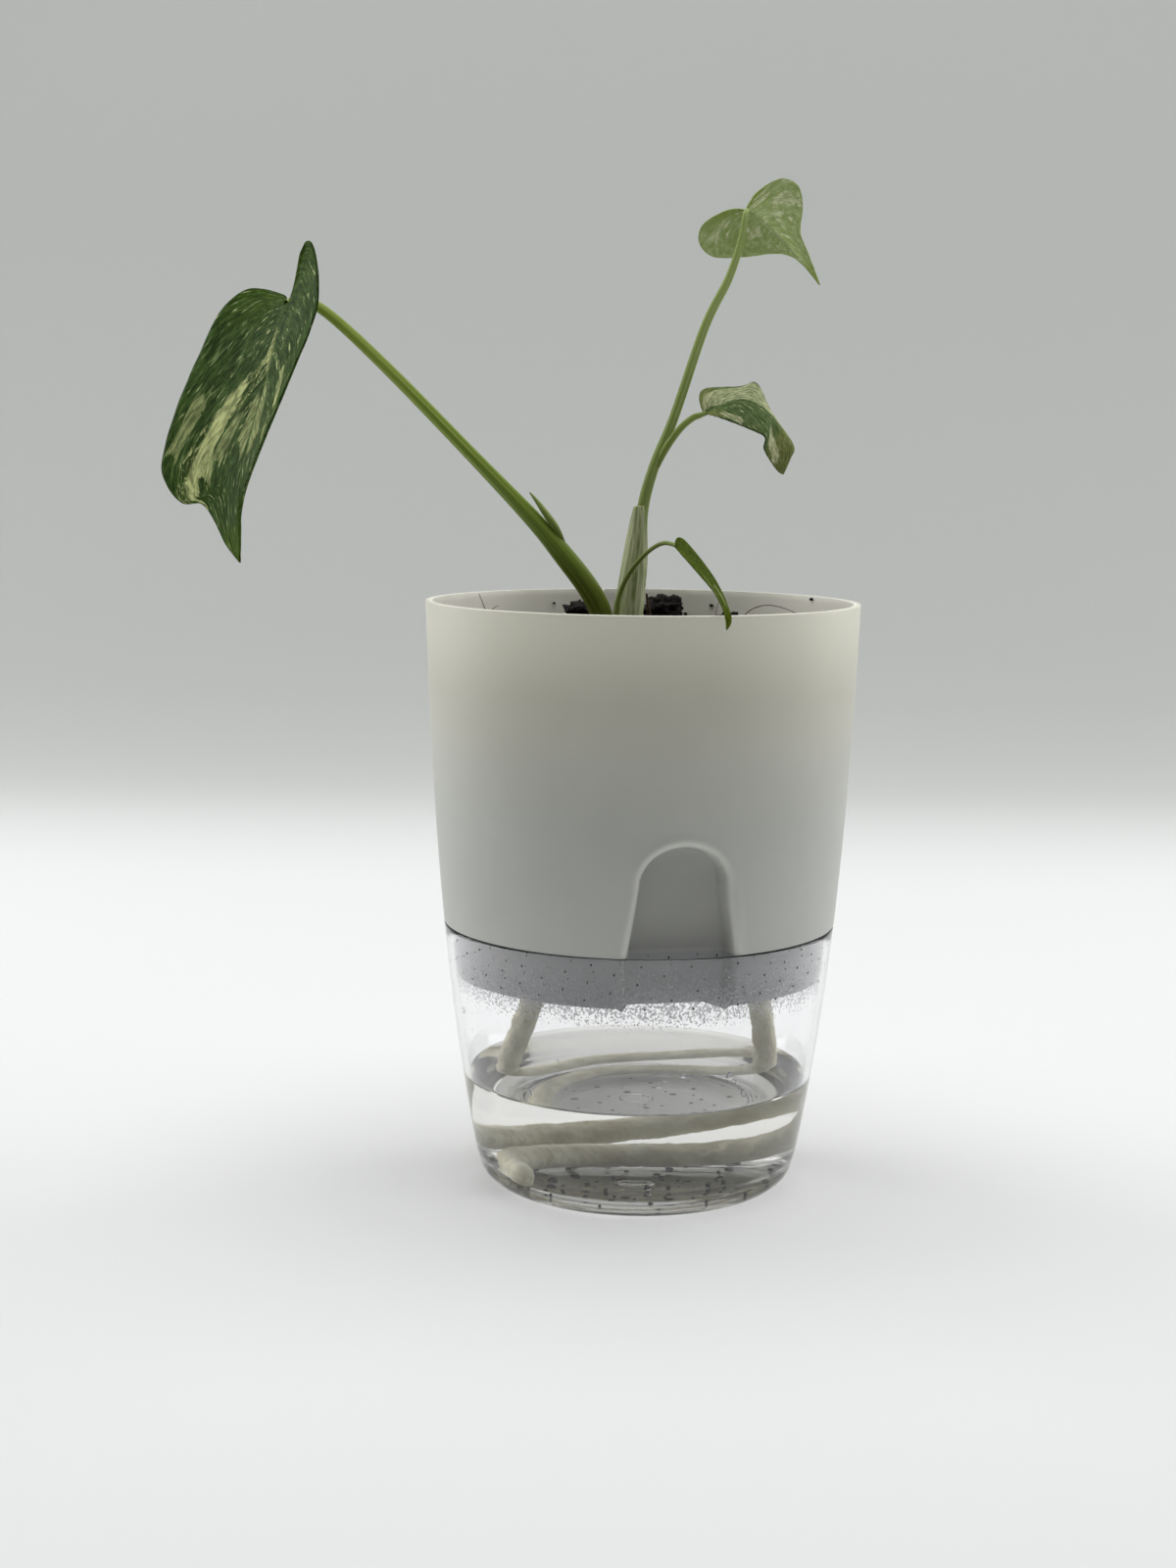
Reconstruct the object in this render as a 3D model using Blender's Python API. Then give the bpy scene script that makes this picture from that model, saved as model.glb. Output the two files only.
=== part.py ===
"""Variegated monstera in a two-part self-watering pot.

The frame's origin is the centre of the pot's flat underside, +Z is up, and the
fill port opens towards -Y. Sizes below are in millimetres and MM turns them
into metres. The pot is turned about Z. The planter hangs in the clear cup by
its shoulder, two cotton wicks drop from its floor into the water, and it lifts
straight up and out with the soil and the plant.
"""
import math

import bmesh
import bpy
from mathutils import Matrix, Vector

MM = 0.001

# ---- driving dimensions, mm ----
POT_HEIGHT = 139.0
SEAM_HEIGHT = 63.0          # top edge of the clear cup
GAP = 0.35                  # clearance between touching pieces
POT_SEGMENTS = 48
CUP_WALL = 1.5
CUP_FLOOR = 2.2
FOOT_RADIUS = 34.0
WATER_LEVEL = 25.7
PLANTER_WALL = 1.6
PLANTER_FLOOR_UNDERSIDE = 51.4
PLANTER_FLOOR = 2.0
SKIRT_CLEARANCE = 0.45

PORT_AZIMUTH = math.radians(12.3)   # turned from -Y towards +X
PORT_HALF_WIDTH_LOW = 12.1
PORT_HALF_WIDTH_HIGH = 9.9
PORT_SPRING_HEIGHT = 79.5
PORT_TOP_HEIGHT = 88.4
PORT_BACK_LOW = 37.0        # distance of the port's back wall from the axis
PORT_BACK_SLOPE = 0.108     # how fast it moves out with height

WICK_RADIUS = 2.9
WICK_HOLE_RADIUS = 3.5
SOIL_EDGE_HEIGHT = 129.0
SOIL_MOUND = 4.5
SOIL_SPLIT_HEIGHT = 90.7       # clear of the port, so the mix above is a plain disc
SOIL_BLOCK_DEPTH = 34.5        # the mix beside the port stands in front of this
LEAF_THICKNESS = 0.8
CROWN_CENTRE = (-5.2, -0.4)
CROWN_RADIUS = 8.8
CROWN_TOP = 130.0
CROWN_BOTTOM = 112.0


def point(x, y, z):
    """A position given in millimetres, as a vector in metres."""
    return Vector((x, y, z)) * MM


def wall_radius(height):
    """Outer radius of the pot at a height: one smooth bellied taper, in mm."""
    h = height / 100.0
    return 37.25 + 20.76 * h - 10.97 * h ** 2 + 2.26 * h ** 3


def heights(low, high, count):
    return [low + (high - low) * step / (count - 1) for step in range(count)]


# ---- scene and materials ----

def clear_scene():
    for item in list(bpy.data.objects):
        bpy.data.objects.remove(item)


def material(name, colour, roughness, alpha=1.0):
    finish = bpy.data.materials.new(name)
    finish.use_nodes = True
    shader = finish.node_tree.nodes["Principled BSDF"]
    shader.inputs["Base Color"].default_value = (*colour, 1.0)
    shader.inputs["Roughness"].default_value = roughness
    shader.inputs["Metallic"].default_value = 0.0
    shader.inputs["Alpha"].default_value = alpha
    finish.diffuse_color = (*colour, alpha)
    return finish


def link(name, data, finish):
    piece = bpy.data.objects.new(name, data)
    bpy.context.scene.collection.objects.link(piece)
    if finish is not None:
        data.materials.append(finish)
    return piece


def mesh_piece(name, bm, finish, smooth_angle=40.0):
    """Turns a bmesh into a named, smooth-shaded object."""
    bmesh.ops.recalc_face_normals(bm, faces=bm.faces)
    mesh = bpy.data.meshes.new(name)
    bm.to_mesh(mesh)
    bm.free()
    mesh.shade_smooth()
    mesh.set_sharp_from_angle(angle=math.radians(smooth_angle))
    return link(name, mesh, finish)


def make_cutter(piece):
    piece.hide_render = True
    piece.display_type = "WIRE"
    return piece


def subtract(piece, cutter):
    cut = piece.modifiers.new("cut_" + cutter.name, "BOOLEAN")
    cut.operation = "DIFFERENCE"
    cut.object = cutter


# ---- general shapes ----

def turned(name, profile, finish, segments=POT_SEGMENTS):
    """A solid turned about Z from (radius, height) points, ends on the axis."""
    bm = bmesh.new()
    verts = [bm.verts.new(point(r, 0.0, z)) for r, z in profile]
    edges = [bm.edges.new(pair) for pair in zip(verts, verts[1:])]
    bmesh.ops.spin(bm, geom=verts + edges, cent=(0, 0, 0), axis=(0, 0, 1),
                   angle=math.tau, steps=segments, use_merge=True)
    bmesh.ops.remove_doubles(bm, verts=bm.verts, dist=1e-6)
    return mesh_piece(name, bm, finish)


def smooth_route(route, steps_per_span):
    """Catmull-Rom curve through a list of hand-set points (tuples of numbers)."""
    padded = [route[0]] + list(route) + [route[-1]]
    result = []
    for a, b, c, d in zip(padded, padded[1:], padded[2:], padded[3:]):
        for step in range(steps_per_span):
            t = step / steps_per_span
            result.append(tuple(
                0.5 * (2 * q + (r - p) * t + (2 * p - 5 * q + 4 * r - s) * t ** 2
                       + (3 * q - p - 3 * r + s) * t ** 3)
                for p, q, r, s in zip(a, b, c, d)))
    result.append(tuple(route[-1]))
    return result


def even_route(route, count):
    """Points at even distances along the smooth curve through a route."""
    fine = smooth_route(route, 24)
    along = [0.0]
    for a, b in zip(fine, fine[1:]):
        along.append(along[-1] + math.dist(a[:3], b[:3]))
    result = []
    span = 0
    for step in range(count):
        target = along[-1] * step / (count - 1)
        while span < len(along) - 2 and along[span + 1] < target:
            span += 1
        t = (target - along[span]) / (along[span + 1] - along[span])
        result.append(tuple(p + (q - p) * t for p, q in zip(fine[span], fine[span + 1])))
    return result


def tube(name, route, count, finish, radius=None, resolution=2):
    """A bevelled curve; a route point is (x, y, z) or (x, y, z, own radius)."""
    data = bpy.data.curves.new(name, "CURVE")
    data.dimensions = "3D"
    data.use_fill_caps = True
    data.bevel_resolution = resolution
    data.bevel_depth = MM
    points = even_route(route, count)
    spline = data.splines.new("POLY")
    spline.points.add(len(points) - 1)
    for target, place in zip(spline.points, points):
        target.co = (*point(*place[:3]), 1.0)
        target.radius = radius if radius is not None else place[3]
    return link(name, data, finish)


def tube_cutter(name, route, count, radius, resolution=2):
    """The same tube as a mesh, because a Boolean takes no curve."""
    curve = tube(name + "_curve", route, count, None, radius, resolution)
    bpy.context.view_layer.update()
    mesh = bpy.data.meshes.new_from_object(curve.evaluated_get(bpy.context.evaluated_depsgraph_get()))
    bpy.data.objects.remove(curve)
    return make_cutter(link(name, mesh, None))


def lengthened(route, start_run, end_run):
    """The route with both ends pushed out along their own directions."""
    start = Vector(route[0]) + (Vector(route[0]) - Vector(route[1])).normalized() * start_run
    end = Vector(route[-1]) + (Vector(route[-1]) - Vector(route[-2])).normalized() * end_run
    return [tuple(start)] + route[1:-1] + [tuple(end)]


def lump(name, centre, radii, finish, seed, growth=0.0):
    """A small uneven clod: an icosphere dented by a fixed sine pattern."""
    bm = bmesh.new()
    bmesh.ops.create_icosphere(bm, subdivisions=2, radius=1.0)
    for vert in bm.verts:
        n = vert.co.normalized()
        dent = (0.16 * math.sin(3.1 * n.x + seed) * math.cos(2.7 * n.y - 1.3 * seed)
                + 0.10 * math.sin(5.3 * n.z + 2.0 * seed))
        vert.co = Vector([c * r + growth * c for c, r in zip(n * (1.0 + dent), radii)])
        vert.co = point(*(vert.co + Vector(centre)))
    return mesh_piece(name, bm, finish)


# ---- the pot ----

def cup_profile(inset, top, floor):
    """Inner or outer side of the cup from the floor's edge up, in mm."""
    corner = [(FOOT_RADIUS - inset + 2.6, floor + 0.9)]
    sides = [(wall_radius(z) - inset, z) for z in heights(floor + 4.0, top, 5)]
    return corner + sides


def build_cup(finish):
    outer = [(0.0, 0.0), (FOOT_RADIUS, 0.0)] + cup_profile(0.0, SEAM_HEIGHT, 0.0)
    inner = cup_profile(CUP_WALL, SEAM_HEIGHT, CUP_FLOOR)
    inner.reverse()
    inner += [(FOOT_RADIUS - CUP_WALL, CUP_FLOOR), (0.0, CUP_FLOOR)]
    return turned("reservoir_cup", outer + inner, finish)


def build_water(finish):
    bottom = CUP_FLOOR + GAP
    inset = CUP_WALL + GAP
    side = cup_profile(inset, WATER_LEVEL, bottom)
    profile = [(0.0, bottom), (FOOT_RADIUS - inset, bottom)] + side + [(0.0, WATER_LEVEL)]
    return turned("reservoir_water", profile, finish)


def skirt_radius(height):
    """Outer radius of the stepped-in lower end that sits inside the cup."""
    return wall_radius(height) - CUP_WALL - SKIRT_CLEARANCE


def port_prism(name, margin):
    """The arched fill port as a cutter, grown by a margin on every side."""
    low = PLANTER_FLOOR_UNDERSIDE - 6.0
    rise = PORT_TOP_HEIGHT - PORT_SPRING_HEIGHT
    outline = [(-PORT_HALF_WIDTH_LOW - margin, low), (PORT_HALF_WIDTH_LOW + margin, low),
               (PORT_HALF_WIDTH_LOW + margin, SEAM_HEIGHT)]
    for step in range(11):
        angle = math.pi * step / 10
        outline.append(((PORT_HALF_WIDTH_HIGH + margin) * math.cos(angle),
                        PORT_SPRING_HEIGHT + (rise + margin) * math.sin(angle)))
    outline.append((-PORT_HALF_WIDTH_LOW - margin, SEAM_HEIGHT))
    across = Vector((math.cos(PORT_AZIMUTH), math.sin(PORT_AZIMUTH), 0.0))
    outward = Vector((math.sin(PORT_AZIMUTH), -math.cos(PORT_AZIMUTH), 0.0))
    bm = bmesh.new()
    back = []
    for u, z in outline:
        depth = PORT_BACK_LOW + PORT_BACK_SLOPE * (z - PLANTER_FLOOR_UNDERSIDE) - margin
        back.append(bm.verts.new((across * u + outward * depth) * MM + point(0, 0, z)))
    face = bm.faces.new(back)
    grown = bmesh.ops.extrude_face_region(bm, geom=[face])
    moved = [item for item in grown["geom"] if isinstance(item, bmesh.types.BMVert)]
    bmesh.ops.translate(bm, verts=moved, vec=outward * 22.0 * MM)
    return make_cutter(mesh_piece(name, bm, None))


def cavity_profile(inset, top, bottom):
    """The room inside the planter, from its floor up, shrunk by an inset."""
    wall = PLANTER_WALL + inset
    skirt = [(skirt_radius(z) - wall, z) for z in heights(bottom + 1.6, SEAM_HEIGHT - 1.0, 2)]
    upper = [(wall_radius(z) - wall, z) for z in heights(SEAM_HEIGHT + 3.0, top, 5)]
    return [(0.0, bottom), (skirt_radius(bottom) - wall - 1.6, bottom)] + skirt + upper


def build_planter(finish, wick_holes):
    seat = SEAM_HEIGHT + GAP
    skirt = [(skirt_radius(z), z) for z in heights(PLANTER_FLOOR_UNDERSIDE + 1.2, seat, 2)]
    upper = [(wall_radius(z), z) for z in heights(seat, POT_HEIGHT - 0.8, 6)]
    lip = wall_radius(POT_HEIGHT)
    outer = ([(0.0, PLANTER_FLOOR_UNDERSIDE), (skirt[0][0] - 1.2, PLANTER_FLOOR_UNDERSIDE)]
             + skirt + upper + [(lip - 0.5, POT_HEIGHT), (0.0, POT_HEIGHT)])
    planter = turned("planter", outer, finish)
    floor_top = PLANTER_FLOOR_UNDERSIDE + PLANTER_FLOOR
    room = turned("planter_room",
                  cavity_profile(0.0, POT_HEIGHT + 2.0, floor_top) + [(0.0, POT_HEIGHT + 2.0)], None)
    make_cutter(room)
    subtract(room, port_prism("port_inner_side", PLANTER_WALL))
    subtract(planter, port_prism("port_outer_side", 0.0))
    subtract(planter, room)
    for number, (x, y) in enumerate(wick_holes):
        bm = bmesh.new()
        bmesh.ops.create_cone(bm, cap_ends=True, segments=20, radius1=WICK_HOLE_RADIUS * MM,
                              radius2=WICK_HOLE_RADIUS * MM, depth=6.0 * MM)
        bmesh.ops.translate(bm, verts=bm.verts, vec=point(x, y, PLANTER_FLOOR_UNDERSIDE + 1.0))
        subtract(planter, make_cutter(mesh_piece("wick_hole_%d" % number, bm, None)))
    return planter


# ---- wicks ----
# Each hangs from the soil through the planter's floor, enters the water and
# lies round the back of the reservoir.
WICK_LEFT_ROUTE = [(-22.5, 4.0, 80.0), (-23.3, 4.6, 66.0), (-23.8, 5.0, 52.0), (-26.6, 5.0, 38.9),
                   (-31.2, 5.0, 26.0), (-31.3, 8.9, 14.8), (-25.5, 15.8, 8.6), (-12.5, 25.0, 9.3),
                   (0.0, 27.6, 11.2), (12.0, 27.3, 14.2), (22.0, 24.8, 18.8), (30.6, 19.4, 24.0)]
WICK_RIGHT_ROUTE = [(26.2, 4.0, 80.0), (27.3, 4.6, 66.0), (28.0, 5.0, 52.0), (30.2, 5.2, 39.3),
                    (31.6, 7.4, 26.5), (28.6, 12.6, 15.6), (21.0, 18.4, 8.8), (11.0, 21.8, 6.0),
                    (0.0, 21.6, 5.6), (-10.5, 18.0, 5.6), (-18.8, 9.8, 5.6), (-22.6, -1.0, 5.6),
                    (-23.4, -12.0, 5.6), (-23.2, -18.0, 5.6)]
WICK_POINTS = 34


def build_wicks(finish):
    left = tube("wick_left", WICK_LEFT_ROUTE, WICK_POINTS, finish, WICK_RADIUS)
    right = tube("wick_right", WICK_RIGHT_ROUTE, WICK_POINTS, finish, WICK_RADIUS)
    channels = []
    for name, route in (("channel_left", WICK_LEFT_ROUTE), ("channel_right", WICK_RIGHT_ROUTE)):
        longer = lengthened(route, 2.0 * GAP, 2.0 * GAP)
        channels.append(tube_cutter(name, longer, WICK_POINTS, WICK_RADIUS + GAP + 0.1))
    return left, right, channels


# ---- soil, crown and roots ----

def soil_height(radius):
    """Height of the soil's surface: a low mound in the middle of the pot."""
    return SOIL_EDGE_HEIGHT + SOIL_MOUND * math.exp(-(radius / 24.0) ** 2)


def port_block(name, low, high, near, far):
    """An upright box, square to the port, as a cutter for the mix around it."""
    bm = bmesh.new()
    bmesh.ops.create_cube(bm, size=1.0)
    bmesh.ops.scale(bm, vec=point(high - low, far - near, POT_HEIGHT), verts=bm.verts)
    middle = point((low + high) / 2.0, -(near + far) / 2.0, POT_HEIGHT / 2.0)
    bmesh.ops.translate(bm, verts=bm.verts, vec=middle)
    bmesh.ops.rotate(bm, verts=bm.verts, matrix=Matrix.Rotation(PORT_AZIMUTH, 3, "Z"))
    return make_cutter(mesh_piece(name, bm, None))


def build_soil(finish):
    """The potting mix: a disc above the port, and three blocks round it below."""
    bottom = PLANTER_FLOOR_UNDERSIDE + PLANTER_FLOOR + GAP
    low_profile = cavity_profile(GAP, SOIL_SPLIT_HEIGHT, bottom) + [(0.0, SOIL_SPLIT_HEIGHT)]
    outside = 2.0 * FOOT_RADIUS
    side = PORT_HALF_WIDTH_LOW + PLANTER_WALL + GAP
    lower = turned("soil_behind_port", low_profile, finish)
    subtract(lower, port_block("room_before", -outside, outside, SOIL_BLOCK_DEPTH - GAP, outside))
    for name, low, high in (("soil_left_of_port", -side, outside), ("soil_right_of_port", -outside, side)):
        block = turned(name, low_profile, finish)
        subtract(block, port_block(name + "_room_beside", low, high, -outside, outside))
        subtract(block, port_block(name + "_room_behind", -outside, outside, -outside, SOIL_BLOCK_DEPTH))
    base = SOIL_SPLIT_HEIGHT + GAP
    wall = PLANTER_WALL + GAP
    profile = [(0.0, base)] + [(wall_radius(z) - wall, z) for z in heights(base, SOIL_EDGE_HEIGHT, 4)]
    profile += [(r, soil_height(r)) for r in (38.0, 26.0, 14.0)]
    upper = turned("soil_upper", profile + [(0.0, soil_height(0.0))], finish)
    return upper, lower


def crown_body(name, growth, top, finish):
    """The short thick stem that every petiole grows from."""
    profile = [(0.0, CROWN_BOTTOM - growth), (0.62 * CROWN_RADIUS + growth, CROWN_BOTTOM - growth),
               (CROWN_RADIUS + growth, CROWN_TOP - 4.0), (CROWN_RADIUS + growth, top), (0.0, top)]
    crown = turned(name, profile, finish, segments=20)
    crown.location = point(*CROWN_CENTRE, 0.0)
    return crown


ROOT_ROUTES = {
    "root_front": [(-4.5, -2.5, 110.8), (-5.0, -8.0, 103.0), (-2.0, -17.0, 98.0), (3.0, -26.0, 95.0)],
    "root_back": [(-4.5, 1.6, 110.8), (-3.0, 9.0, 104.0), (2.0, 18.0, 98.5), (1.0, 27.0, 95.0)],
    "root_left": [(-7.0, -0.5, 110.8), (-14.0, -2.0, 104.5), (-22.0, -4.0, 99.0), (-29.0, -10.0, 95.0)],
    "root_right": [(-2.0, -0.5, 110.8), (6.0, -2.5, 105.0), (15.0, -5.0, 99.5), (24.0, -8.0, 95.0)],
}
ROOT_RADIUS = 1.1


def build_crown_and_roots(stem_finish, root_finish):
    crown_body("stem_crown", 0.0, CROWN_TOP, stem_finish)
    cutters = [make_cutter(crown_body("crown_room", GAP, POT_HEIGHT, None))]
    for name, route in ROOT_ROUTES.items():
        tube(name, route, 12, root_finish, ROOT_RADIUS, resolution=1)
        longer = lengthened(route, 2.8, 2.0 * GAP)
        cutters.append(tube_cutter(name + "_channel", longer, 12, ROOT_RADIUS + 2.0 * GAP, resolution=1))
    return cutters


SOIL_CLODS = {
    "soil_clod_middle": ((5.0, 9.0, 136.2), (4.2, 3.4, 3.6), 1.0),
    "soil_clod_left": ((-34.0, 19.0, 131.6), (3.0, 2.6, 2.8), 2.1),
    "soil_clod_back": ((-14.8, 14.0, 135.2), (3.6, 2.8, 2.8), 3.4),
    "soil_clod_right": ((21.0, 19.0, 132.6), (3.8, 3.0, 2.6), 4.2),
    "bark_chip": ((13.0, -14.0, 133.2), (4.6, 2.2, 1.6), 5.5),
}


def build_clods(finish):
    cutters = []
    for name, (centre, radii, seed) in SOIL_CLODS.items():
        lump(name, centre, radii, finish, seed)
        cutters.append(make_cutter(lump(name + "_seat", centre, radii, None, seed, GAP + 0.1)))
    return cutters


# ---- petioles: (x, y, z, radius) ----
PETIOLE_LARGE = [(-9.2, 1.2, 130.5, 2.7), (-9.7, 0.8, 136.5, 2.7), (-12.2, 0.0, 142.2, 2.65),
                 (-17.5, -0.8, 149.2, 2.5), (-25.6, -1.5, 157.7, 2.1), (-39.3, -2.7, 171.8, 1.65),
                 (-57.4, -4.3, 190.1, 1.45), (-70.8, -4.9, 202.6, 1.3), (-77.6, -4.2, 207.2, 1.2),
                 (-80.6, -3.6, 207.6, 1.1)]
PETIOLE_TALL = [(-2.2, 0.8, 130.5, 1.7), (-1.3, 0.6, 137.5, 1.6), (-0.4, 0.3, 148.0, 1.5),
                (-0.3, 0.0, 160.0, 1.45), (2.3, 0.0, 170.5, 1.3), (6.8, 0.0, 182.0, 1.2),
                (13.6, 0.0, 202.6, 1.1), (18.9, 0.0, 213.6, 1.0), (21.5, -0.1, 222.0, 0.85),
                (22.4, -0.1, 227.6, 0.75)]
PETIOLE_MIDDLE = [(3.4, -2.7, 170.6, 0.75), (5.1, -2.8, 174.6, 0.9), (8.2, -2.6, 179.2, 0.85),
                  (11.0, -2.4, 181.6, 0.8), (12.5, -2.5, 182.2, 0.7)]
PETIOLE_SMALL = [(-5.8, -5.0, 130.5, 0.75), (-6.0, -4.9, 137.0, 0.7), (-4.9, -5.6, 142.2, 0.6),
                 (-2.3, -8.0, 147.2, 0.55), (1.4, -12.5, 151.4, 0.5), (4.6, -17.0, 153.3, 0.5)]


def build_petioles(finish):
    tube("petiole_large", PETIOLE_LARGE, 24, finish, resolution=3)
    tube("petiole_tall", PETIOLE_TALL, 26, finish)
    tube("petiole_middle", PETIOLE_MIDDLE, 12, finish, resolution=1)
    tube("petiole_small", PETIOLE_SMALL, 16, finish, resolution=1)


# ---- leaves: a midrib and two edges, each an open curve from the petiole to the tip ----
LEAF_LARGE = {
    "midrib": [(-82.6, -6.0, 206.5), (-84.5, -6.0, 200.6), (-87.4, -7.0, 188.0), (-91.0, -8.0, 175.3),
               (-93.6, -9.0, 163.0), (-93.6, -8.0, 147.4)],
    "left": [(-82.6, -6.0, 206.5), (-84.2, -2.0, 209.0), (-93.4, 7.0, 210.7), (-100.7, 11.0, 205.9),
             (-105.8, 13.0, 197.0), (-111.9, 13.0, 183.4), (-115.5, 12.0, 170.8), (-114.2, 10.0, 165.0),
             (-109.8, 7.0, 160.6), (-104.9, 4.0, 160.7), (-101.5, 1.0, 157.5), (-97.5, -4.0, 151.3),
             (-93.6, -8.0, 147.4)],
    "right": [(-82.6, -6.0, 206.5), (-80.3, -9.0, 208.5), (-77.4, -18.0, 217.0), (-74.9, -22.0, 219.2),
              (-72.6, -27.0, 214.1), (-72.1, -32.0, 203.5), (-78.0, -31.0, 189.3), (-85.8, -24.0, 174.2),
              (-93.0, -11.0, 161.5), (-93.7, -9.0, 155.1), (-93.6, -8.0, 147.4)],
}
LEAF_HEART = {
    "midrib": [(22.5, 1.7, 228.9), (24.5, 2.0, 228.0), (28.9, 2.1, 224.3), (33.7, 1.7, 219.5),
               (39.9, 0.5, 212.2)],
    "left": [(22.5, 1.7, 228.9), (18.5, 3.0, 229.2), (12.9, 4.2, 226.2), (11.9, 4.6, 222.0),
             (15.3, 4.2, 218.7), (22.6, 3.6, 218.7), (32.7, 2.6, 219.1), (39.9, 0.5, 212.2)],
    "right": [(22.5, 1.7, 228.9), (25.0, 3.2, 233.2), (30.4, 4.6, 236.5), (34.5, 5.0, 235.1),
              (35.8, 4.6, 230.4), (35.3, 3.4, 224.4), (37.2, 2.0, 219.3), (39.9, 0.5, 212.2)],
}
LEAF_MIDDLE = {
    "midrib": [(13.8, -2.5, 182.5), (16.8, -3.5, 184.3), (21.2, -4.5, 185.4), (26.8, -5.5, 183.6),
               (31.7, -7.0, 178.3), (33.7, -8.0, 175.0), (32.6, -8.5, 171.2), (31.8, -7.5, 169.0)],
    "left": [(13.8, -2.5, 182.5), (12.6, 1.0, 185.9), (14.0, 3.5, 188.4), (22.2, 4.0, 189.0),
             (25.9, 3.5, 189.7), (29.1, 0.0, 183.3), (34.0, -5.4, 175.6), (33.4, -6.5, 173.0),
             (31.8, -7.5, 169.0)],
    "right": [(13.8, -2.5, 182.5), (17.2, -8.0, 181.7), (24.0, -11.0, 179.1), (27.4, -11.5, 177.3),
              (27.3, -11.0, 174.5), (30.1, -9.0, 170.1), (31.8, -7.5, 169.0)],
}
LEAF_SMALL = {
    "midrib": [(6.9, -20.0, 153.0), (10.3, -28.0, 150.8), (13.6, -38.0, 147.0), (16.2, -46.0, 143.4),
               (17.7, -52.4, 140.3), (18.4, -53.4, 138.3), (17.8, -53.4, 136.4)],
    "left": [(6.9, -20.0, 153.0), (8.8, -26.0, 151.9), (11.7, -36.0, 148.1), (14.3, -45.0, 144.8),
             (15.8, -52.0, 141.9), (16.9, -53.6, 139.5), (17.8, -53.4, 136.4)],
    "right": [(6.9, -20.0, 153.0), (11.4, -29.0, 151.9), (15.1, -39.5, 147.5), (17.8, -47.5, 143.9),
              (18.8, -52.8, 141.0), (19.2, -54.0, 138.9), (17.8, -53.4, 136.4)],
}
LEAF_SIZES = {"leaf_large": (LEAF_LARGE, 20, 5), "leaf_heart": (LEAF_HEART, 16, 4),
              "leaf_middle": (LEAF_MIDDLE, 16, 3), "leaf_small": (LEAF_SMALL, 14, 2)}


def thicken(piece, thickness):
    solid = piece.modifiers.new("thickness", "SOLIDIFY")
    solid.thickness = thickness * MM
    solid.offset = 0.0


def build_leaf(name, curves, rows, columns, finish):
    """A folded blade: each half is ruled from the midrib to its own edge.

    The rows leave the midrib late, so the lower lobes fan out from the joint.
    """
    count = rows + 1
    fine = even_route(curves["midrib"], 6 * rows + 1)
    rib = [fine[round(6 * rows * (row / rows) ** 1.5)] for row in range(count)]
    left = even_route(curves["left"], count)
    right = even_route(curves["right"], count)
    bm = bmesh.new()
    grid = []
    for row in range(count):
        line = []
        for column in range(-columns, columns + 1):
            edge = left[row] if column < 0 else right[row]
            share = abs(column) / columns
            place = [m + (e - m) * share for m, e in zip(rib[row], edge)]
            line.append(bm.verts.new(point(*place)))
        grid.append(line)
    for near, far in zip(grid, grid[1:]):
        for a, b, c, d in zip(near, near[1:], far[1:], far):
            bm.faces.new((a, b, c, d))
    bmesh.ops.remove_doubles(bm, verts=bm.verts, dist=2e-5)
    thicken(mesh_piece(name, bm, finish), LEAF_THICKNESS)


# ---- sheaths ----
CATAPHYLL_RADIUS = 3.1
CATAPHYLL_LOW = 131.0
CATAPHYLL_TOP = 161.3


def build_cataphyll(finish):
    """The pale sheath: a tapering scoop round the front of the tall petiole."""
    bm = bmesh.new()
    rows = []
    for step in range(13):
        t = step / 12
        z = CATAPHYLL_LOW + (CATAPHYLL_TOP - CATAPHYLL_LOW) * t
        centre_x = -2.4 + 2.9 * t - 0.7 * t ** 2
        centre_y = 0.8 - 0.7 * t
        spread = math.radians(205.0 - 150.0 * t ** 2.2)
        radius = CATAPHYLL_RADIUS - 0.7 * t
        row = []
        for place in range(9):
            angle = -0.62 * math.pi + spread * (place / 8 - 0.5)
            row.append(bm.verts.new(point(centre_x + radius * math.cos(angle),
                                          centre_y + radius * math.sin(angle), z)))
        rows.append(row)
    for near, far in zip(rows, rows[1:]):
        for a, b, c, d in zip(near, near[1:], far[1:], far):
            bm.faces.new((a, b, c, d))
    thicken(mesh_piece("cataphyll", bm, finish), 0.7)


LIGULE = [(-20.6, -2.9, 157.4, 0.5), (-23.4, -2.7, 160.2, 0.8), (-25.2, -2.4, 162.2, 0.5),
          (-26.7, -2.2, 164.2, 0.15)]
DRY_STRIP = [(1.9, -2.2, 131.2, 0.7), (1.6, -2.6, 135.5, 0.6), (0.9, -2.9, 141.0, 0.25)]


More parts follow.
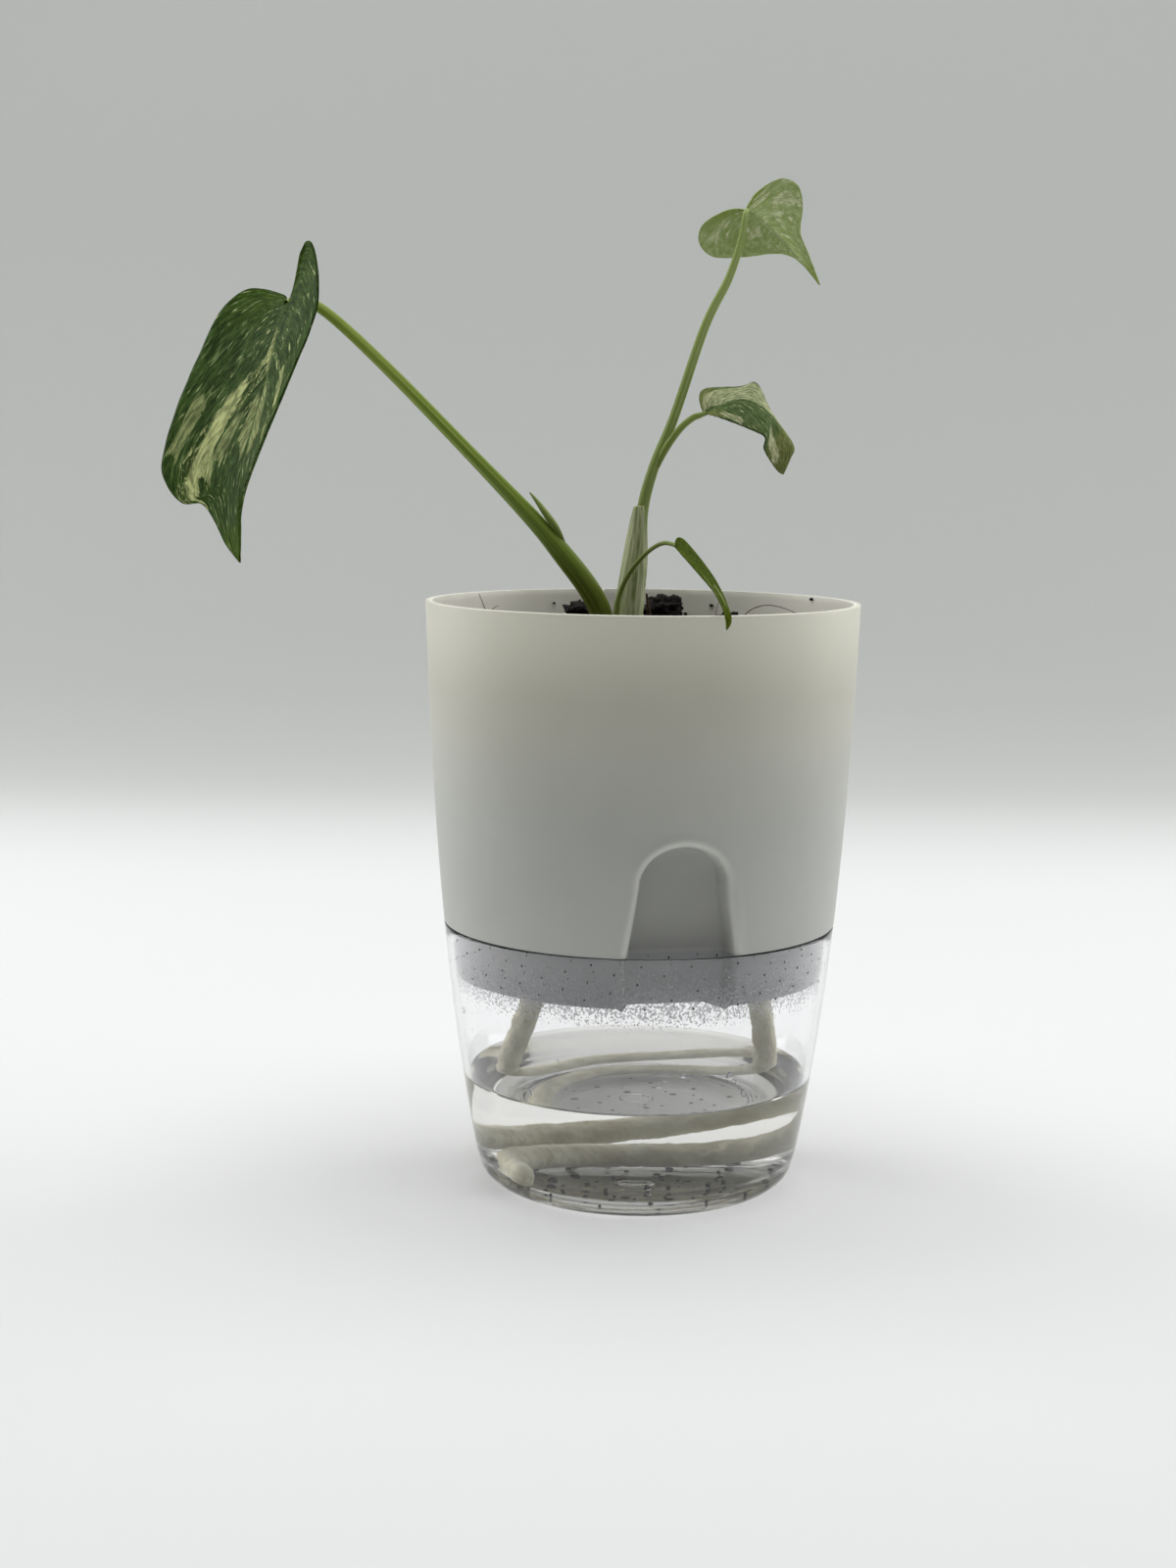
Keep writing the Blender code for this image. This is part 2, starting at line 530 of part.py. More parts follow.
def main():
    clear_scene()
    clear_plastic = material("clear_plastic", (0.78, 0.78, 0.84), 0.06, 0.3)
    water = material("water", (0.86, 0.90, 0.92), 0.02, 0.3)
    white_plastic = material("white_plastic", (0.76, 0.76, 0.71), 0.5)
    cotton = material("cotton", (0.80, 0.78, 0.68), 0.9)
    potting_mix = material("potting_mix", (0.035, 0.026, 0.02), 0.95)
    root_skin = material("root_skin", (0.52, 0.42, 0.28), 0.8)
    stem = material("stem", (0.20, 0.32, 0.06), 0.45)
    blade = material("blade", (0.10, 0.20, 0.05), 0.42)
    pale_blade = material("pale_blade", (0.32, 0.42, 0.18), 0.5)
    sheath = material("sheath", (0.56, 0.62, 0.40), 0.55)
    dry = material("dry_sheath", (0.16, 0.09, 0.04), 0.9)

    build_cup(clear_plastic)
    body_of_water = build_water(water)
    holes = [WICK_LEFT_ROUTE[2][:2], WICK_RIGHT_ROUTE[2][:2]]
    build_planter(white_plastic, holes)
    _, _, channels = build_wicks(cotton)
    soil_upper, soil_lower = build_soil(potting_mix)
    for channel in channels:
        subtract(body_of_water, channel)
        subtract(soil_lower, channel)
    for cutter in build_crown_and_roots(stem, root_skin) + build_clods(potting_mix):
        subtract(soil_upper, cutter)
    build_petioles(stem)
    for name, (curves, rows, columns) in LEAF_SIZES.items():
        build_leaf(name, curves, rows, columns, blade if name != "leaf_heart" else pale_blade)
    build_cataphyll(sheath)
    tube("ligule", LIGULE, 8, stem, resolution=1)
    tube("dry_sheath_strip", DRY_STRIP, 8, dry, resolution=1)


main()
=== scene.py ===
# %% [markdown]
# # A young variegated monstera in a two-part self-watering pot
#
# The plant stands in a warm white planter. The planter hangs in a clear cup
# that holds the water, and two cotton wicks carry the water up to the soil.
# The frame file gives the true sizes and places; this lesson makes the fine
# surfaces, one piece at a time, in metres and in the same frame.

# %% Load the frame
import math

import bmesh
import bpy
from mathutils import Matrix, Vector, noise


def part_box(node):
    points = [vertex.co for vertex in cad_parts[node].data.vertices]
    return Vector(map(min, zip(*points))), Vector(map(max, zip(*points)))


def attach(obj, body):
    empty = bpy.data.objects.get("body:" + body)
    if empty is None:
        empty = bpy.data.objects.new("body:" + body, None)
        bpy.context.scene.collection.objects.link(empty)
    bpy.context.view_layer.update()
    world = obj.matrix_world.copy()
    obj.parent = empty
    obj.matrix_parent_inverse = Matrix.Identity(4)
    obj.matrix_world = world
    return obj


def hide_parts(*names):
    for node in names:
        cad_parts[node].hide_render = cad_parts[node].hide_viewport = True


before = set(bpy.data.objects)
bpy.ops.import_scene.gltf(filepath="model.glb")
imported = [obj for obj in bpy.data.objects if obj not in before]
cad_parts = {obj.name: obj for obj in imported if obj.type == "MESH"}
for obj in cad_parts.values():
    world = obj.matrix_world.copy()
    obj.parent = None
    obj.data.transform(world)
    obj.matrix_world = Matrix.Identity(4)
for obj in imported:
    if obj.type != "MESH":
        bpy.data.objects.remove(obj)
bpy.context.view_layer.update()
MM = 0.001
POT = "planter"
CUP = "reservoir"


def shade(red, green, blue):
    """A colour named as on a paint card, 0 to 255, turned into light."""
    return tuple((value / 255.0 / 12.92) if value < 11 else ((value / 255.0 + 0.055) / 1.055) ** 2.4
                 for value in (red, green, blue))


def put_in_scene(name, data):
    thing = bpy.data.objects.new(name, data)
    bpy.context.scene.collection.objects.link(thing)
    return thing


# %% [markdown]
# ## The camera
#
# The camera looks a little down on the pot from about half a metre, as a
# telephone held at the height of the leaves would. Its view and its upward
# direction are set outright, and it has no depth of field.

# %% Camera
EYE = (0.0, -0.53577, 0.17275)
VIEW = Vector((-0.02301, 0.98947, -0.14287))
UPWARD = Vector((-0.01329, 0.14259, 0.98969))


def add_camera():
    data = bpy.data.cameras.new("studio_camera")
    data.lens = 52.2
    data.sensor_width = 36.0
    data.clip_start = 0.02
    camera = put_in_scene("studio_camera", data)
    right = VIEW.cross(UPWARD).normalized()
    turn = Matrix((right, right.cross(VIEW), -VIEW)).transposed()
    camera.matrix_world = Matrix.Translation(EYE) @ turn.to_4x4()
    bpy.context.scene.camera = camera


add_camera()


# %% [markdown]
# ## Shader maths
#
# Patterns are worked out by shader nodes. This small class wraps one socket,
# so that `0.3 + 0.7 * mask` adds the Math nodes by itself. Every other node
# comes from one method, `Finish.node`, which sets the node's settings first
# and then its sockets.

# %% Sockets as numbers
class Wire:
    def __init__(self, finish, socket):
        self.finish = finish
        self.socket = socket

    def maths(self, operation, first, second=0.0):
        return self.finish.node("ShaderNodeMath", {"operation": operation}, {0: first, 1: second})

    def __add__(self, other):
        return self.maths("ADD", self, other)

    __radd__ = __add__

    def __sub__(self, other):
        return self.maths("SUBTRACT", self, other)

    def __rsub__(self, other):
        return self.maths("SUBTRACT", other, self)

    def __mul__(self, other):
        return self.maths("MULTIPLY", self, other)

    __rmul__ = __mul__

    def __truediv__(self, other):
        return self.maths("DIVIDE", self, other)

    def size(self):
        return self.maths("ABSOLUTE", self)

    def root(self):
        return self.maths("SQRT", self)

    def sine(self):
        return self.maths("SINE", self)

    def most(self, other):
        return self.maths("MAXIMUM", self, other)

    def other(self, name):
        """Another output of the same node."""
        return Wire(self.finish, self.socket.node.outputs[name])

    def ramp(self, low, high, to_low=0.0, to_high=1.0):
        """A smooth step from low to high."""
        return self.finish.node(
            "ShaderNodeMapRange", {"interpolation_type": "SMOOTHSTEP"},
            {"Value": self, "From Min": low, "From Max": high, "To Min": to_low, "To Max": to_high})


class Finish:
    """One material and the nodes that make its pattern."""

    def __init__(self, name):
        self.material = bpy.data.materials.new(name)
        self.material.use_nodes = True
        self.tree = self.material.node_tree
        self.shader = self.tree.nodes["Principled BSDF"]

    def put(self, socket, value):
        if isinstance(value, Wire):
            self.tree.links.new(value.socket, socket)
        elif hasattr(socket.default_value, "__len__") and len(socket.default_value) == 4:
            socket.default_value = (*value[:3], 1.0)
        else:
            socket.default_value = value

    def node(self, kind, settings, inputs, output=0):
        node = self.tree.nodes.new(kind)
        for name, value in settings.items():
            setattr(node, name, value)
        for name, value in inputs.items():
            self.put(node.inputs[name], value)
        return Wire(self, node.outputs[output])

    def place(self):
        return self.node("ShaderNodeTexCoord", {}, {}, "Object")

    def uv(self):
        return self.node("ShaderNodeTexCoord", {}, {}, "UV")

    def split(self, vector):
        return self.node("ShaderNodeSeparateXYZ", {}, {"Vector": vector}, "X")

    def join(self, x, y, z=0.0):
        return self.node("ShaderNodeCombineXYZ", {}, {"X": x, "Y": y, "Z": z})

    def stretch(self, vector, scale):
        return self.node("ShaderNodeMapping", {}, {"Vector": vector, "Scale": scale})

    def grain(self, vector, scale, detail=3.0, roughness=0.55, distortion=0.0):
        return self.node("ShaderNodeTexNoise", {}, {
            "Vector": vector, "Scale": scale, "Detail": detail, "Roughness": roughness, "Distortion": distortion})

    def mix(self, share, first, second):
        return self.node("ShaderNodeMix", {"data_type": "RGBA"}, {0: share, 6: first, 7: second}, 2)

    def bump(self, height, strength, distance):
        return self.node("ShaderNodeBump", {}, {"Height": height, "Strength": strength, "Distance": distance})

    def surface(self, colour, roughness, **others):
        """Fills the Principled shader; the rest are its other sockets by name."""
        self.put(self.shader.inputs["Base Color"], colour)
        self.put(self.shader.inputs["Roughness"], roughness)
        for name, value in others.items():
            self.put(self.shader.inputs[name.replace("_", " ")], value)
        return self.material

    def normal(self, bump):
        self.put(self.shader.inputs["Normal"], bump)


# %% [markdown]
# ## Smooth curves and tubes
#
# Wicks, stalks and hairs are all tubes. A route is a few given points, a smooth
# curve runs through them, and a flat `create_grid` is rolled up round the curve.
# The operator makes the faces and the UV map, and only the places of the points
# are worked out here.

# %% Routes
STEPS_PER_SPAN = 24


def smooth_route(route):
    """Catmull-Rom curve through a list of points, each a tuple of numbers."""
    padded = [route[0]] + list(route) + [route[-1]]
    result = []
    for a, b, c, d in zip(padded, padded[1:], padded[2:], padded[3:]):
        for step in range(STEPS_PER_SPAN):
            t = step / STEPS_PER_SPAN
            result.append(tuple(
                0.5 * (2 * q + (r - p) * t + (2 * p - 5 * q + 4 * r - s) * t ** 2
                       + (3 * q - p - 3 * r + s) * t ** 3)
                for p, q, r, s in zip(a, b, c, d)))
    result.append(tuple(route[-1]))
    return result


def even_route(route, count):
    """Points at even distances along the smooth curve through a route."""
    fine = smooth_route(route)
    along = [0.0]
    for a, b in zip(fine, fine[1:]):
        along.append(along[-1] + math.dist(a[:3], b[:3]))
    result = []
    span = 0
    for step in range(count):
        target = along[-1] * step / (count - 1)
        while span < len(along) - 2 and along[span + 1] < target:
            span += 1
        t = (target - along[span]) / max(along[span + 1] - along[span], 1e-9)
        result.append(tuple(p + (q - p) * t for p, q in zip(fine[span], fine[span + 1])))
    return result


def route_length(points):
    return sum(math.dist(a[:3], b[:3]) for a, b in zip(points, points[1:]))


# %% Finished pieces
def smooth_mesh(name, bm, material):
    mesh = bpy.data.meshes.new(name)
    bm.to_mesh(mesh)
    bm.free()
    mesh.shade_smooth()
    mesh.materials.append(material)
    return mesh


def add_piece(name, bm, material, body, replaces=(), smooth_angle=50.0):
    """Turns a bmesh in millimetres into a piece of the model, in metres."""
    bmesh.ops.recalc_face_normals(bm, faces=bm.faces)
    bmesh.ops.scale(bm, vec=(MM, MM, MM), verts=bm.verts)
    mesh = smooth_mesh(name, bm, material)
    mesh.set_sharp_from_angle(angle=math.radians(smooth_angle))
    piece = put_in_scene(name, mesh)
    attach(piece, body)
    if replaces:
        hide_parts(*replaces)
    print(name, len(mesh.polygons), "faces")
    return piece


def thicken(piece, thickness, offset=0.0):
    """Gives a sheet its thickness; offset -1 keeps the sheet as the outer face."""
    wall = piece.modifiers.new("wall", "SOLIDIFY")
    wall.thickness = thickness * MM
    wall.offset = offset


def tube(bm, points, sides, radius_at):
    """Rolls a flat grid into a tube along points; radius_at(t, angle) is its radius.

    Angle 0 looks to the front. The grid's own UV map stays on the tube: U runs
    round it and V along it.
    """
    last = len(points) - 1
    side = Vector((0.0, -1.0, 0.0))
    frames = []
    for index, place in enumerate(points):
        before = Vector(points[max(index - 1, 0)][:3])
        after = Vector(points[min(index + 1, last)][:3])
        tangent = (after - before).normalized()
        side = (side - tangent * side.dot(tangent)).normalized()
        frames.append((Vector(place[:3]), side.copy(), tangent.cross(side)))
    if not bm.loops.layers.uv:
        bm.loops.layers.uv.new("UVMap")
    made = bmesh.ops.create_grid(bm, x_segments=sides, y_segments=last, size=1.0, calc_uvs=True)["verts"]
    ends = []
    for vert in made:
        turn = round((vert.co.x + 1.0) / 2.0 * sides)
        index = round((vert.co.y + 1.0) / 2.0 * last)
        angle = math.tau * turn / sides
        middle, side, up = frames[index]
        radius = radius_at(index / last, angle)
        vert.co = middle + (side * math.cos(angle) + up * math.sin(angle)) * radius
        if index in (0, last):
            ends.append(vert)
    rims = [edge for edge in {edge for vert in ends for edge in vert.link_edges}
            if edge.is_boundary and all(vert in ends for vert in edge.verts)]
    bmesh.ops.remove_doubles(bm, verts=made, dist=1e-5)
    rims = [edge for edge in rims if edge.is_valid and edge.is_boundary]
    bmesh.ops.holes_fill(bm, edges=rims, sides=0)


# %% [markdown]
# ## The wicks
#
# Each wick is a soft cotton rope of about 6 mm. It comes out of the planter's
# floor, sags into the water and lies round the back of the reservoir. They are
# cords, so their routes come first, and repeat the routes of the frame.

# %% Wick routes
WICK_DIAMETER = 5.8
WICK_LEFT = [(-22.5, 4.0, 80.0), (-23.3, 4.6, 66.0), (-23.8, 5.0, 52.0), (-26.6, 5.0, 38.9),
             (-31.2, 5.0, 26.0), (-31.3, 8.9, 14.8), (-25.5, 15.8, 8.6), (-12.5, 25.0, 9.3),
             (0.0, 27.6, 11.2), (12.0, 27.3, 14.2), (22.0, 24.8, 18.8), (30.6, 19.4, 24.0)]
WICK_RIGHT = [(26.2, 4.0, 80.0), (27.3, 4.6, 66.0), (28.0, 5.0, 52.0), (30.2, 5.2, 39.3),
              (31.6, 7.4, 26.5), (28.6, 12.6, 15.6), (21.0, 18.4, 8.8), (11.0, 21.8, 6.0),
              (0.0, 21.6, 5.6), (-10.5, 18.0, 5.6), (-18.8, 9.8, 5.6), (-22.6, -1.0, 5.6),
              (-23.4, -12.0, 5.6), (-23.2, -18.0, 5.6)]


# %% Cotton
def make_cotton():
    finish = Finish("cotton")
    place = finish.place()
    tuft = finish.grain(place, 900.0, 4.0, 0.7)
    patch = finish.grain(place, 180.0, 2.0)
    colour = finish.mix(patch.ramp(0.35, 0.65), (0.52, 0.49, 0.35), (0.68, 0.66, 0.52))
    finish.normal(finish.bump(tuft, 0.6, 0.0006))
    return finish.surface(colour, 0.95, Sheen_Weight=0.4, Specular_IOR_Level=0.2)


COTTON = make_cotton()


# %% Rope with a rounded, fluffy end
END_ROUNDING = 2.2


def add_wick(name, route, node):
    points = even_route(route, 360)
    bm = bmesh.new()

    def radius_at(t, angle):
        from_end = (1.0 - t) * route_length(points)
        closing = math.sqrt(max(0.001, 1.0 - max(0.0, 1.0 - from_end / END_ROUNDING) ** 2))
        place = Vector((math.cos(angle) * 1.6, math.sin(angle) * 1.6, t * 60.0))
        fluff = 0.32 * noise.noise(place) + 0.22 * noise.noise(place * 2.7) + 0.12 * noise.noise(place * 6.1)
        twist = 0.05 * math.sin(3.0 * angle + t * 130.0)
        return (WICK_DIAMETER / 2 - 0.05 + fluff + twist) * closing

    tube(bm, points, 28, radius_at)
    piece = add_piece(name, bm, COTTON, POT, [node])
    path = [tuple(value * MM for value in place) for place in even_route(route, 40)]


add_wick("cotton_wick_left", WICK_LEFT, "wick_left")
add_wick("cotton_wick_right", WICK_RIGHT, "wick_right")


# %% [markdown]
# ## The studio
#
# A pale sweep: the floor runs back and curves up into a wall. A large softbox
# hangs over the pot and two more stand at its sides, so the front of the pot
# is the darkest part and its shadow is soft.

# %% Floor and sweep
def make_paper():
    """White on the table and a painted shade of grey on the wall, where less light falls, with a soft change
    between them.
    """
    finish = Finish("studio_paper")
    back = finish.split(finish.place()).other("Y")
    # The grey mixed in towards the back is painted shade on the wall.
    colour = finish.mix(back.ramp(0.36, 0.84), (0.83, 0.838, 0.834), (0.50, 0.51, 0.495))
    return finish.surface(colour, 0.9, Specular_IOR_Level=0.2)


FLOOR_FRONT = -1.6
FLOOR_BACK = 0.62
BEND = 0.34
WALL_TOP = 2.4
HALF_WIDTH = 2.2


def add_stage():
    bm = bmesh.new()
    outline = [(FLOOR_FRONT, 0.0), (FLOOR_BACK, 0.0)]
    for step in range(1, 15):
        angle = math.pi / 2 * step / 14
        outline.append((FLOOR_BACK + BEND * math.sin(angle), BEND * (1.0 - math.cos(angle))))
    outline.append((FLOOR_BACK + BEND, WALL_TOP))
    edge = [bm.verts.new((-HALF_WIDTH, y, z)) for y, z in outline]
    edges = [bm.edges.new(pair) for pair in zip(edge, edge[1:])]
    grown = bmesh.ops.extrude_edge_only(bm, edges=edges)["geom"]
    moved = [item for item in grown if isinstance(item, bmesh.types.BMVert)]
    bmesh.ops.translate(bm, verts=moved, vec=(2 * HALF_WIDTH, 0.0, 0.0))
    bmesh.ops.recalc_face_normals(bm, faces=bm.faces)
    put_in_scene("studio_sweep", smooth_mesh("studio_sweep", bm, make_paper()))


add_stage()


# %% Lamps
def add_softbox(name, place, target, width, height, power):
    data = bpy.data.lights.new(name, "AREA")
    data.shape = "RECTANGLE"
    data.size = width
    data.size_y = height
    data.energy = power
    lamp = put_in_scene(name, data)
    lamp.location = place
    lamp.rotation_euler = (Vector(target) - Vector(place)).to_track_quat("-Z", "Y").to_euler()


def add_lights():
    add_softbox("top_softbox", (0.0, 0.05, 1.15), (0.0, 0.0, 0.0), 1.3, 1.1, 11.6)
    add_softbox("left_softbox", (-0.95, 0.32, 0.45), (0.0, 0.0, 0.1), 0.8, 0.8, 5.2)
    add_softbox("right_softbox", (0.95, 0.32, 0.45), (0.0, 0.0, 0.1), 0.8, 0.8, 5.0)
    world = bpy.data.worlds.new("studio_air")
    world.use_nodes = True
    background = world.node_tree.nodes["Background"]
    background.inputs["Color"].default_value = (0.95, 0.98, 1.0, 1.0)
    background.inputs["Strength"].default_value = 0.1
    bpy.context.scene.world = world
    bpy.context.scene.view_settings.view_transform = "Standard"


add_lights()


# %% [markdown]
# ## The pot's outline
#
# Cup and planter share one bellied taper. The planter's shoulder sits on the
# cup's rim with a hair's gap, and the stepped-in skirt below it hangs inside
# the cup. The driving heights come from the frame's own boxes.

# %% Heights from the frame
POT_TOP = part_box("planter")[1][2] / MM
SKIRT_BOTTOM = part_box("planter")[0][2] / MM
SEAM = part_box("reservoir_cup")[1][2] / MM
WATER_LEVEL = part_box("reservoir_water")[1][2] / MM
CUP_WALL = 1.5
CUP_FLOOR = 2.2
SHOULDER = SEAM + 0.35


def wall_radius(height):
    h = height / 100.0
    return 37.25 + 20.76 * h - 10.97 * h ** 2 + 2.26 * h ** 3


print("pot top", POT_TOP, "seam", SEAM, "skirt", SKIRT_BOTTOM, "water", WATER_LEVEL)


# %% Turning
def turned(bm, profile, segments, closed=False):
    """Spins a chain of (radius, height) points round the pot's axis."""
    verts = [bm.verts.new((r, 0.0, z)) for r, z in profile]
    pairs = list(zip(verts, verts[1:]))
    if closed:
        pairs.append((verts[-1], verts[0]))
    edges = [bm.edges.new(pair) for pair in pairs]
    bmesh.ops.spin(bm, geom=verts + edges, cent=(0, 0, 0), axis=(0, 0, 1), angle=math.tau,
                   steps=segments, use_merge=True)
    bmesh.ops.remove_doubles(bm, verts=bm.verts, dist=1e-4)
    bmesh.ops.recalc_face_normals(bm, faces=bm.faces)


def round_axis(radius, angle, height):
    return radius * math.cos(angle), radius * math.sin(angle), height


def arc(centre_r, centre_z, radius, start, end, steps):
    """Points on a rounded corner of an outline, angles in degrees."""
    result = []
    for step in range(steps + 1):
        angle = math.radians(start + (end - start) * step / steps)
        result.append((centre_r + radius * math.cos(angle), centre_z + radius * math.sin(angle)))
    return result


def heights(low, high, count):
    return [low + (high - low) * step / (count - 1) for step in range(count)]


# %% [markdown]
# ## The clear cup
#
# The cup is moulded in clear plastic with a faint lavender tint. It is turned
# as one closed wall, inside and out, so light bends through it as it really
# does. Shadow rays pass straight through, so that the lamps reach the water.

# %% Clear plastic
def let_lamps_through(finish, tint):
    """Shadow rays see a plain tinted window in place of the bending surface."""
    output = finish.tree.nodes["Material Output"]
    window = finish.node("ShaderNodeBsdfTransparent", {}, {"Color": tint})
    is_shadow = finish.node("ShaderNodeLightPath", {}, {}, "Is Shadow Ray")
    shader = Wire(finish, finish.shader.outputs[0])
    mixed = finish.node("ShaderNodeMixShader", {}, {0: is_shadow, 1: shader, 2: window})
    finish.tree.links.new(mixed.socket, output.inputs["Surface"])


def make_clear_plastic():
    finish = Finish("clear_plastic")
    let_lamps_through(finish, (0.985, 0.985, 0.99))
    return finish.surface((0.985, 0.985, 0.993), 0.03, IOR=1.49, Transmission_Weight=1.0)


CLEAR_PLASTIC = make_clear_plastic()


# %% Cup
def add_cup():
    corner = 6.0
    turn_in = wall_radius(corner) - 0.4
    outer = [(0.0, 0.35), (20.0, 0.35), (29.0, 0.3), (31.0, 0.0)]
    outer += arc(turn_in - corner, corner, corner, -84, -4, 12)
    outer += [(wall_radius(z), z) for z in heights(corner + 1.5, SEAM - 0.6, 26)]
    rim = arc(wall_radius(SEAM) - 0.55, SEAM - 0.5, 0.5, 0, 90, 4)
    rim += arc(wall_radius(SEAM) - CUP_WALL + 0.5, SEAM - 0.5, 0.5, 90, 180, 4)
    inner = [(wall_radius(z) - CUP_WALL, z) for z in heights(SEAM - 1.2, CUP_FLOOR + 5.5, 26)]
    inner += arc(wall_radius(7.0) - CUP_WALL - 5.2, CUP_FLOOR + 5.0, 5.0, 0, -86, 12)
    inner += [(28.6, CUP_FLOOR + 0.1), (28.2, CUP_FLOOR + 0.45), (27.6, CUP_FLOOR + 0.45),
              (27.2, CUP_FLOOR), (15.0, CUP_FLOOR), (4.2, CUP_FLOOR), (3.9, CUP_FLOOR + 0.5),
              (3.3, CUP_FLOOR + 0.5), (3.0, CUP_FLOOR - 0.1), (0.0, CUP_FLOOR - 0.1)]
    bm = bmesh.new()
    turned(bm, outer + rim + inner, 192)
    add_piece("clear_cup", bm, CLEAR_PLASTIC, CUP, ["reservoir_cup"], 35.0)


add_cup()


# %% [markdown]
# ## The water
#
# The water fills the cup to a quarter of its height. It climbs the wall a
# little, and its edge is let a tenth of a millimetre into the plastic, so the
# light goes from water to plastic with no film of air between.

# %% Water
def make_water():
    finish = Finish("water")
    let_lamps_through(finish, (0.995, 0.995, 0.985))
    return finish.surface((0.90, 0.895, 0.86), 0.0, IOR=1.333, Transmission_Weight=1.0)


def add_water():
    inset = CUP_WALL - 0.1
    bottom = CUP_FLOOR - 0.05
    profile = [(0.0, bottom), (15.0, bottom), (28.0, bottom), (31.0, bottom + 0.15)]
    profile += arc(wall_radius(7.0) - inset - 5.2, CUP_FLOOR + 4.95, 5.0, -80, 0, 12)
    profile += [(wall_radius(z) - inset, z) for z in heights(CUP_FLOOR + 5.6, WATER_LEVEL + 0.9, 12)]
    edge = wall_radius(WATER_LEVEL) - inset
    profile += [(edge - 3.2 * step / 8, WATER_LEVEL + 0.9 * math.exp(-3.6 * step / 8)) for step in range(1, 9)]
    profile += [(edge - 5.0, WATER_LEVEL), (0.0, WATER_LEVEL)]
    bm = bmesh.new()
    turned(bm, profile, 192)
    add_piece("water", bm, make_water(), CUP, ["reservoir_water"], 35.0)


add_water()


# %% [markdown]
# ## The planter
#
# One moulded shell: a tall bellied wall with a rounded lip, a shoulder on the
# cup's rim, a skirt inside the cup, and an arched filling port pressed into the
# front. A flat grid is wrapped round the pot so that its rows follow the arch,
# close together over the port's rounded edge and wide apart behind. Solidify
# then gives the wall its thickness, inwards.

# %% Port measures
PORT_AZIMUTH = math.radians(12.3)
PORT_OUT = Vector((math.sin(PORT_AZIMUTH), -math.cos(PORT_AZIMUTH), 0.0))
PORT_ACROSS = Vector((math.cos(PORT_AZIMUTH), math.sin(PORT_AZIMUTH), 0.0))
PORT_LOW = 12.1
PORT_HIGH = 9.9
PORT_SPRING = 79.5
PORT_TOP = 88.4
PORT_LEAN = 0.108
PORT_BACK = 37.0
PLANTER_WALL = 1.6
MEAN_RADIUS = 49.0


def port_back(height):
    """Distance of the port's back wall from the axis."""
    return PORT_BACK + PORT_LEAN * (height - SKIRT_BOTTOM)


# %% Wrapping the grid
COLUMNS_SIDE = 46
COLUMNS_ARCH = 220
COLUMNS_BELOW = 14
EDGE_STEPS = [(-1.9, 1.0), (-1.5, 0.985), (-1.1, 0.93), (-0.8, 0.84), (-0.6, 0.7), (-0.35, 0.45),
              (-0.1, 0.24), (0.15, 0.135), (0.5, 0.06), (0.9, 0.010), (1.4, -0.022), (2.0, -0.030),
              (2.6, -0.016), (3.4, 0.0)]


def column_place(column):
    """Where a column meets the arch: (across, height, heading to the far edge)."""
    total = 2 * COLUMNS_SIDE + COLUMNS_ARCH
    if column <= COLUMNS_SIDE or column >= total - COLUMNS_SIDE:
        left = column <= COLUMNS_SIDE
        step = column if left else total - column
        height = side_height(step)
        share = min(1.0, max(0.0, (height - SEAM) / (PORT_SPRING - SEAM)))
        half = PORT_LOW + (PORT_HIGH - PORT_LOW) * share
        return (-half if left else half), height, None
    angle = math.pi * (1.0 - (column - COLUMNS_SIDE) / COLUMNS_ARCH)
    return PORT_HIGH * math.cos(angle), PORT_SPRING + (PORT_TOP - PORT_SPRING) * math.sin(angle), angle


def side_height(step):
    """Rows up the pot's lower part, with two close together at the shoulder."""
    if step <= COLUMNS_BELOW:
        return SKIRT_BOTTOM + (SHOULDER - 0.02 - SKIRT_BOTTOM) * step / COLUMNS_BELOW
    share = (step - COLUMNS_BELOW - 1) / (COLUMNS_SIDE - COLUMNS_BELOW - 1)
    return SHOULDER + (PORT_SPRING - SHOULDER) * share


def shell_radius(height):
    if height < SHOULDER - 0.005:
        return wall_radius(height) - CUP_WALL - 0.45
    return wall_radius(height)


def far_place(column):
    """Where a column ends: on the seam at the pot's back or on the rim."""
    across, height, angle = column_place(column)
    if angle is None:
        return (-math.pi if across < 0 else math.pi), height
    rise = POT_TOP - PORT_SPRING
    width = math.tau * MEAN_RADIUS
    walked = (1.0 - angle / math.pi) * (width + 2 * rise)
    if walked < rise:
        return -math.pi, PORT_SPRING + walked
    if walked > rise + width:
        return math.pi, PORT_SPRING + (width + 2 * rise - walked)
    return -math.pi + (walked - rise) / MEAN_RADIUS, POT_TOP


def wall_point(turn, height, sunk=0.0):
    outward = PORT_OUT * math.cos(turn) + PORT_ACROSS * math.sin(turn)
    return outward * shell_radius(height) + Vector((0.0, 0.0, height)) - PORT_OUT * sunk


def port_depth(across, height):
    return math.sqrt(max(shell_radius(height) ** 2 - across ** 2, 0.0)) - port_back(height)


# %% Planter shell
ROWS_BACK = 5
ROWS_OUT = 44


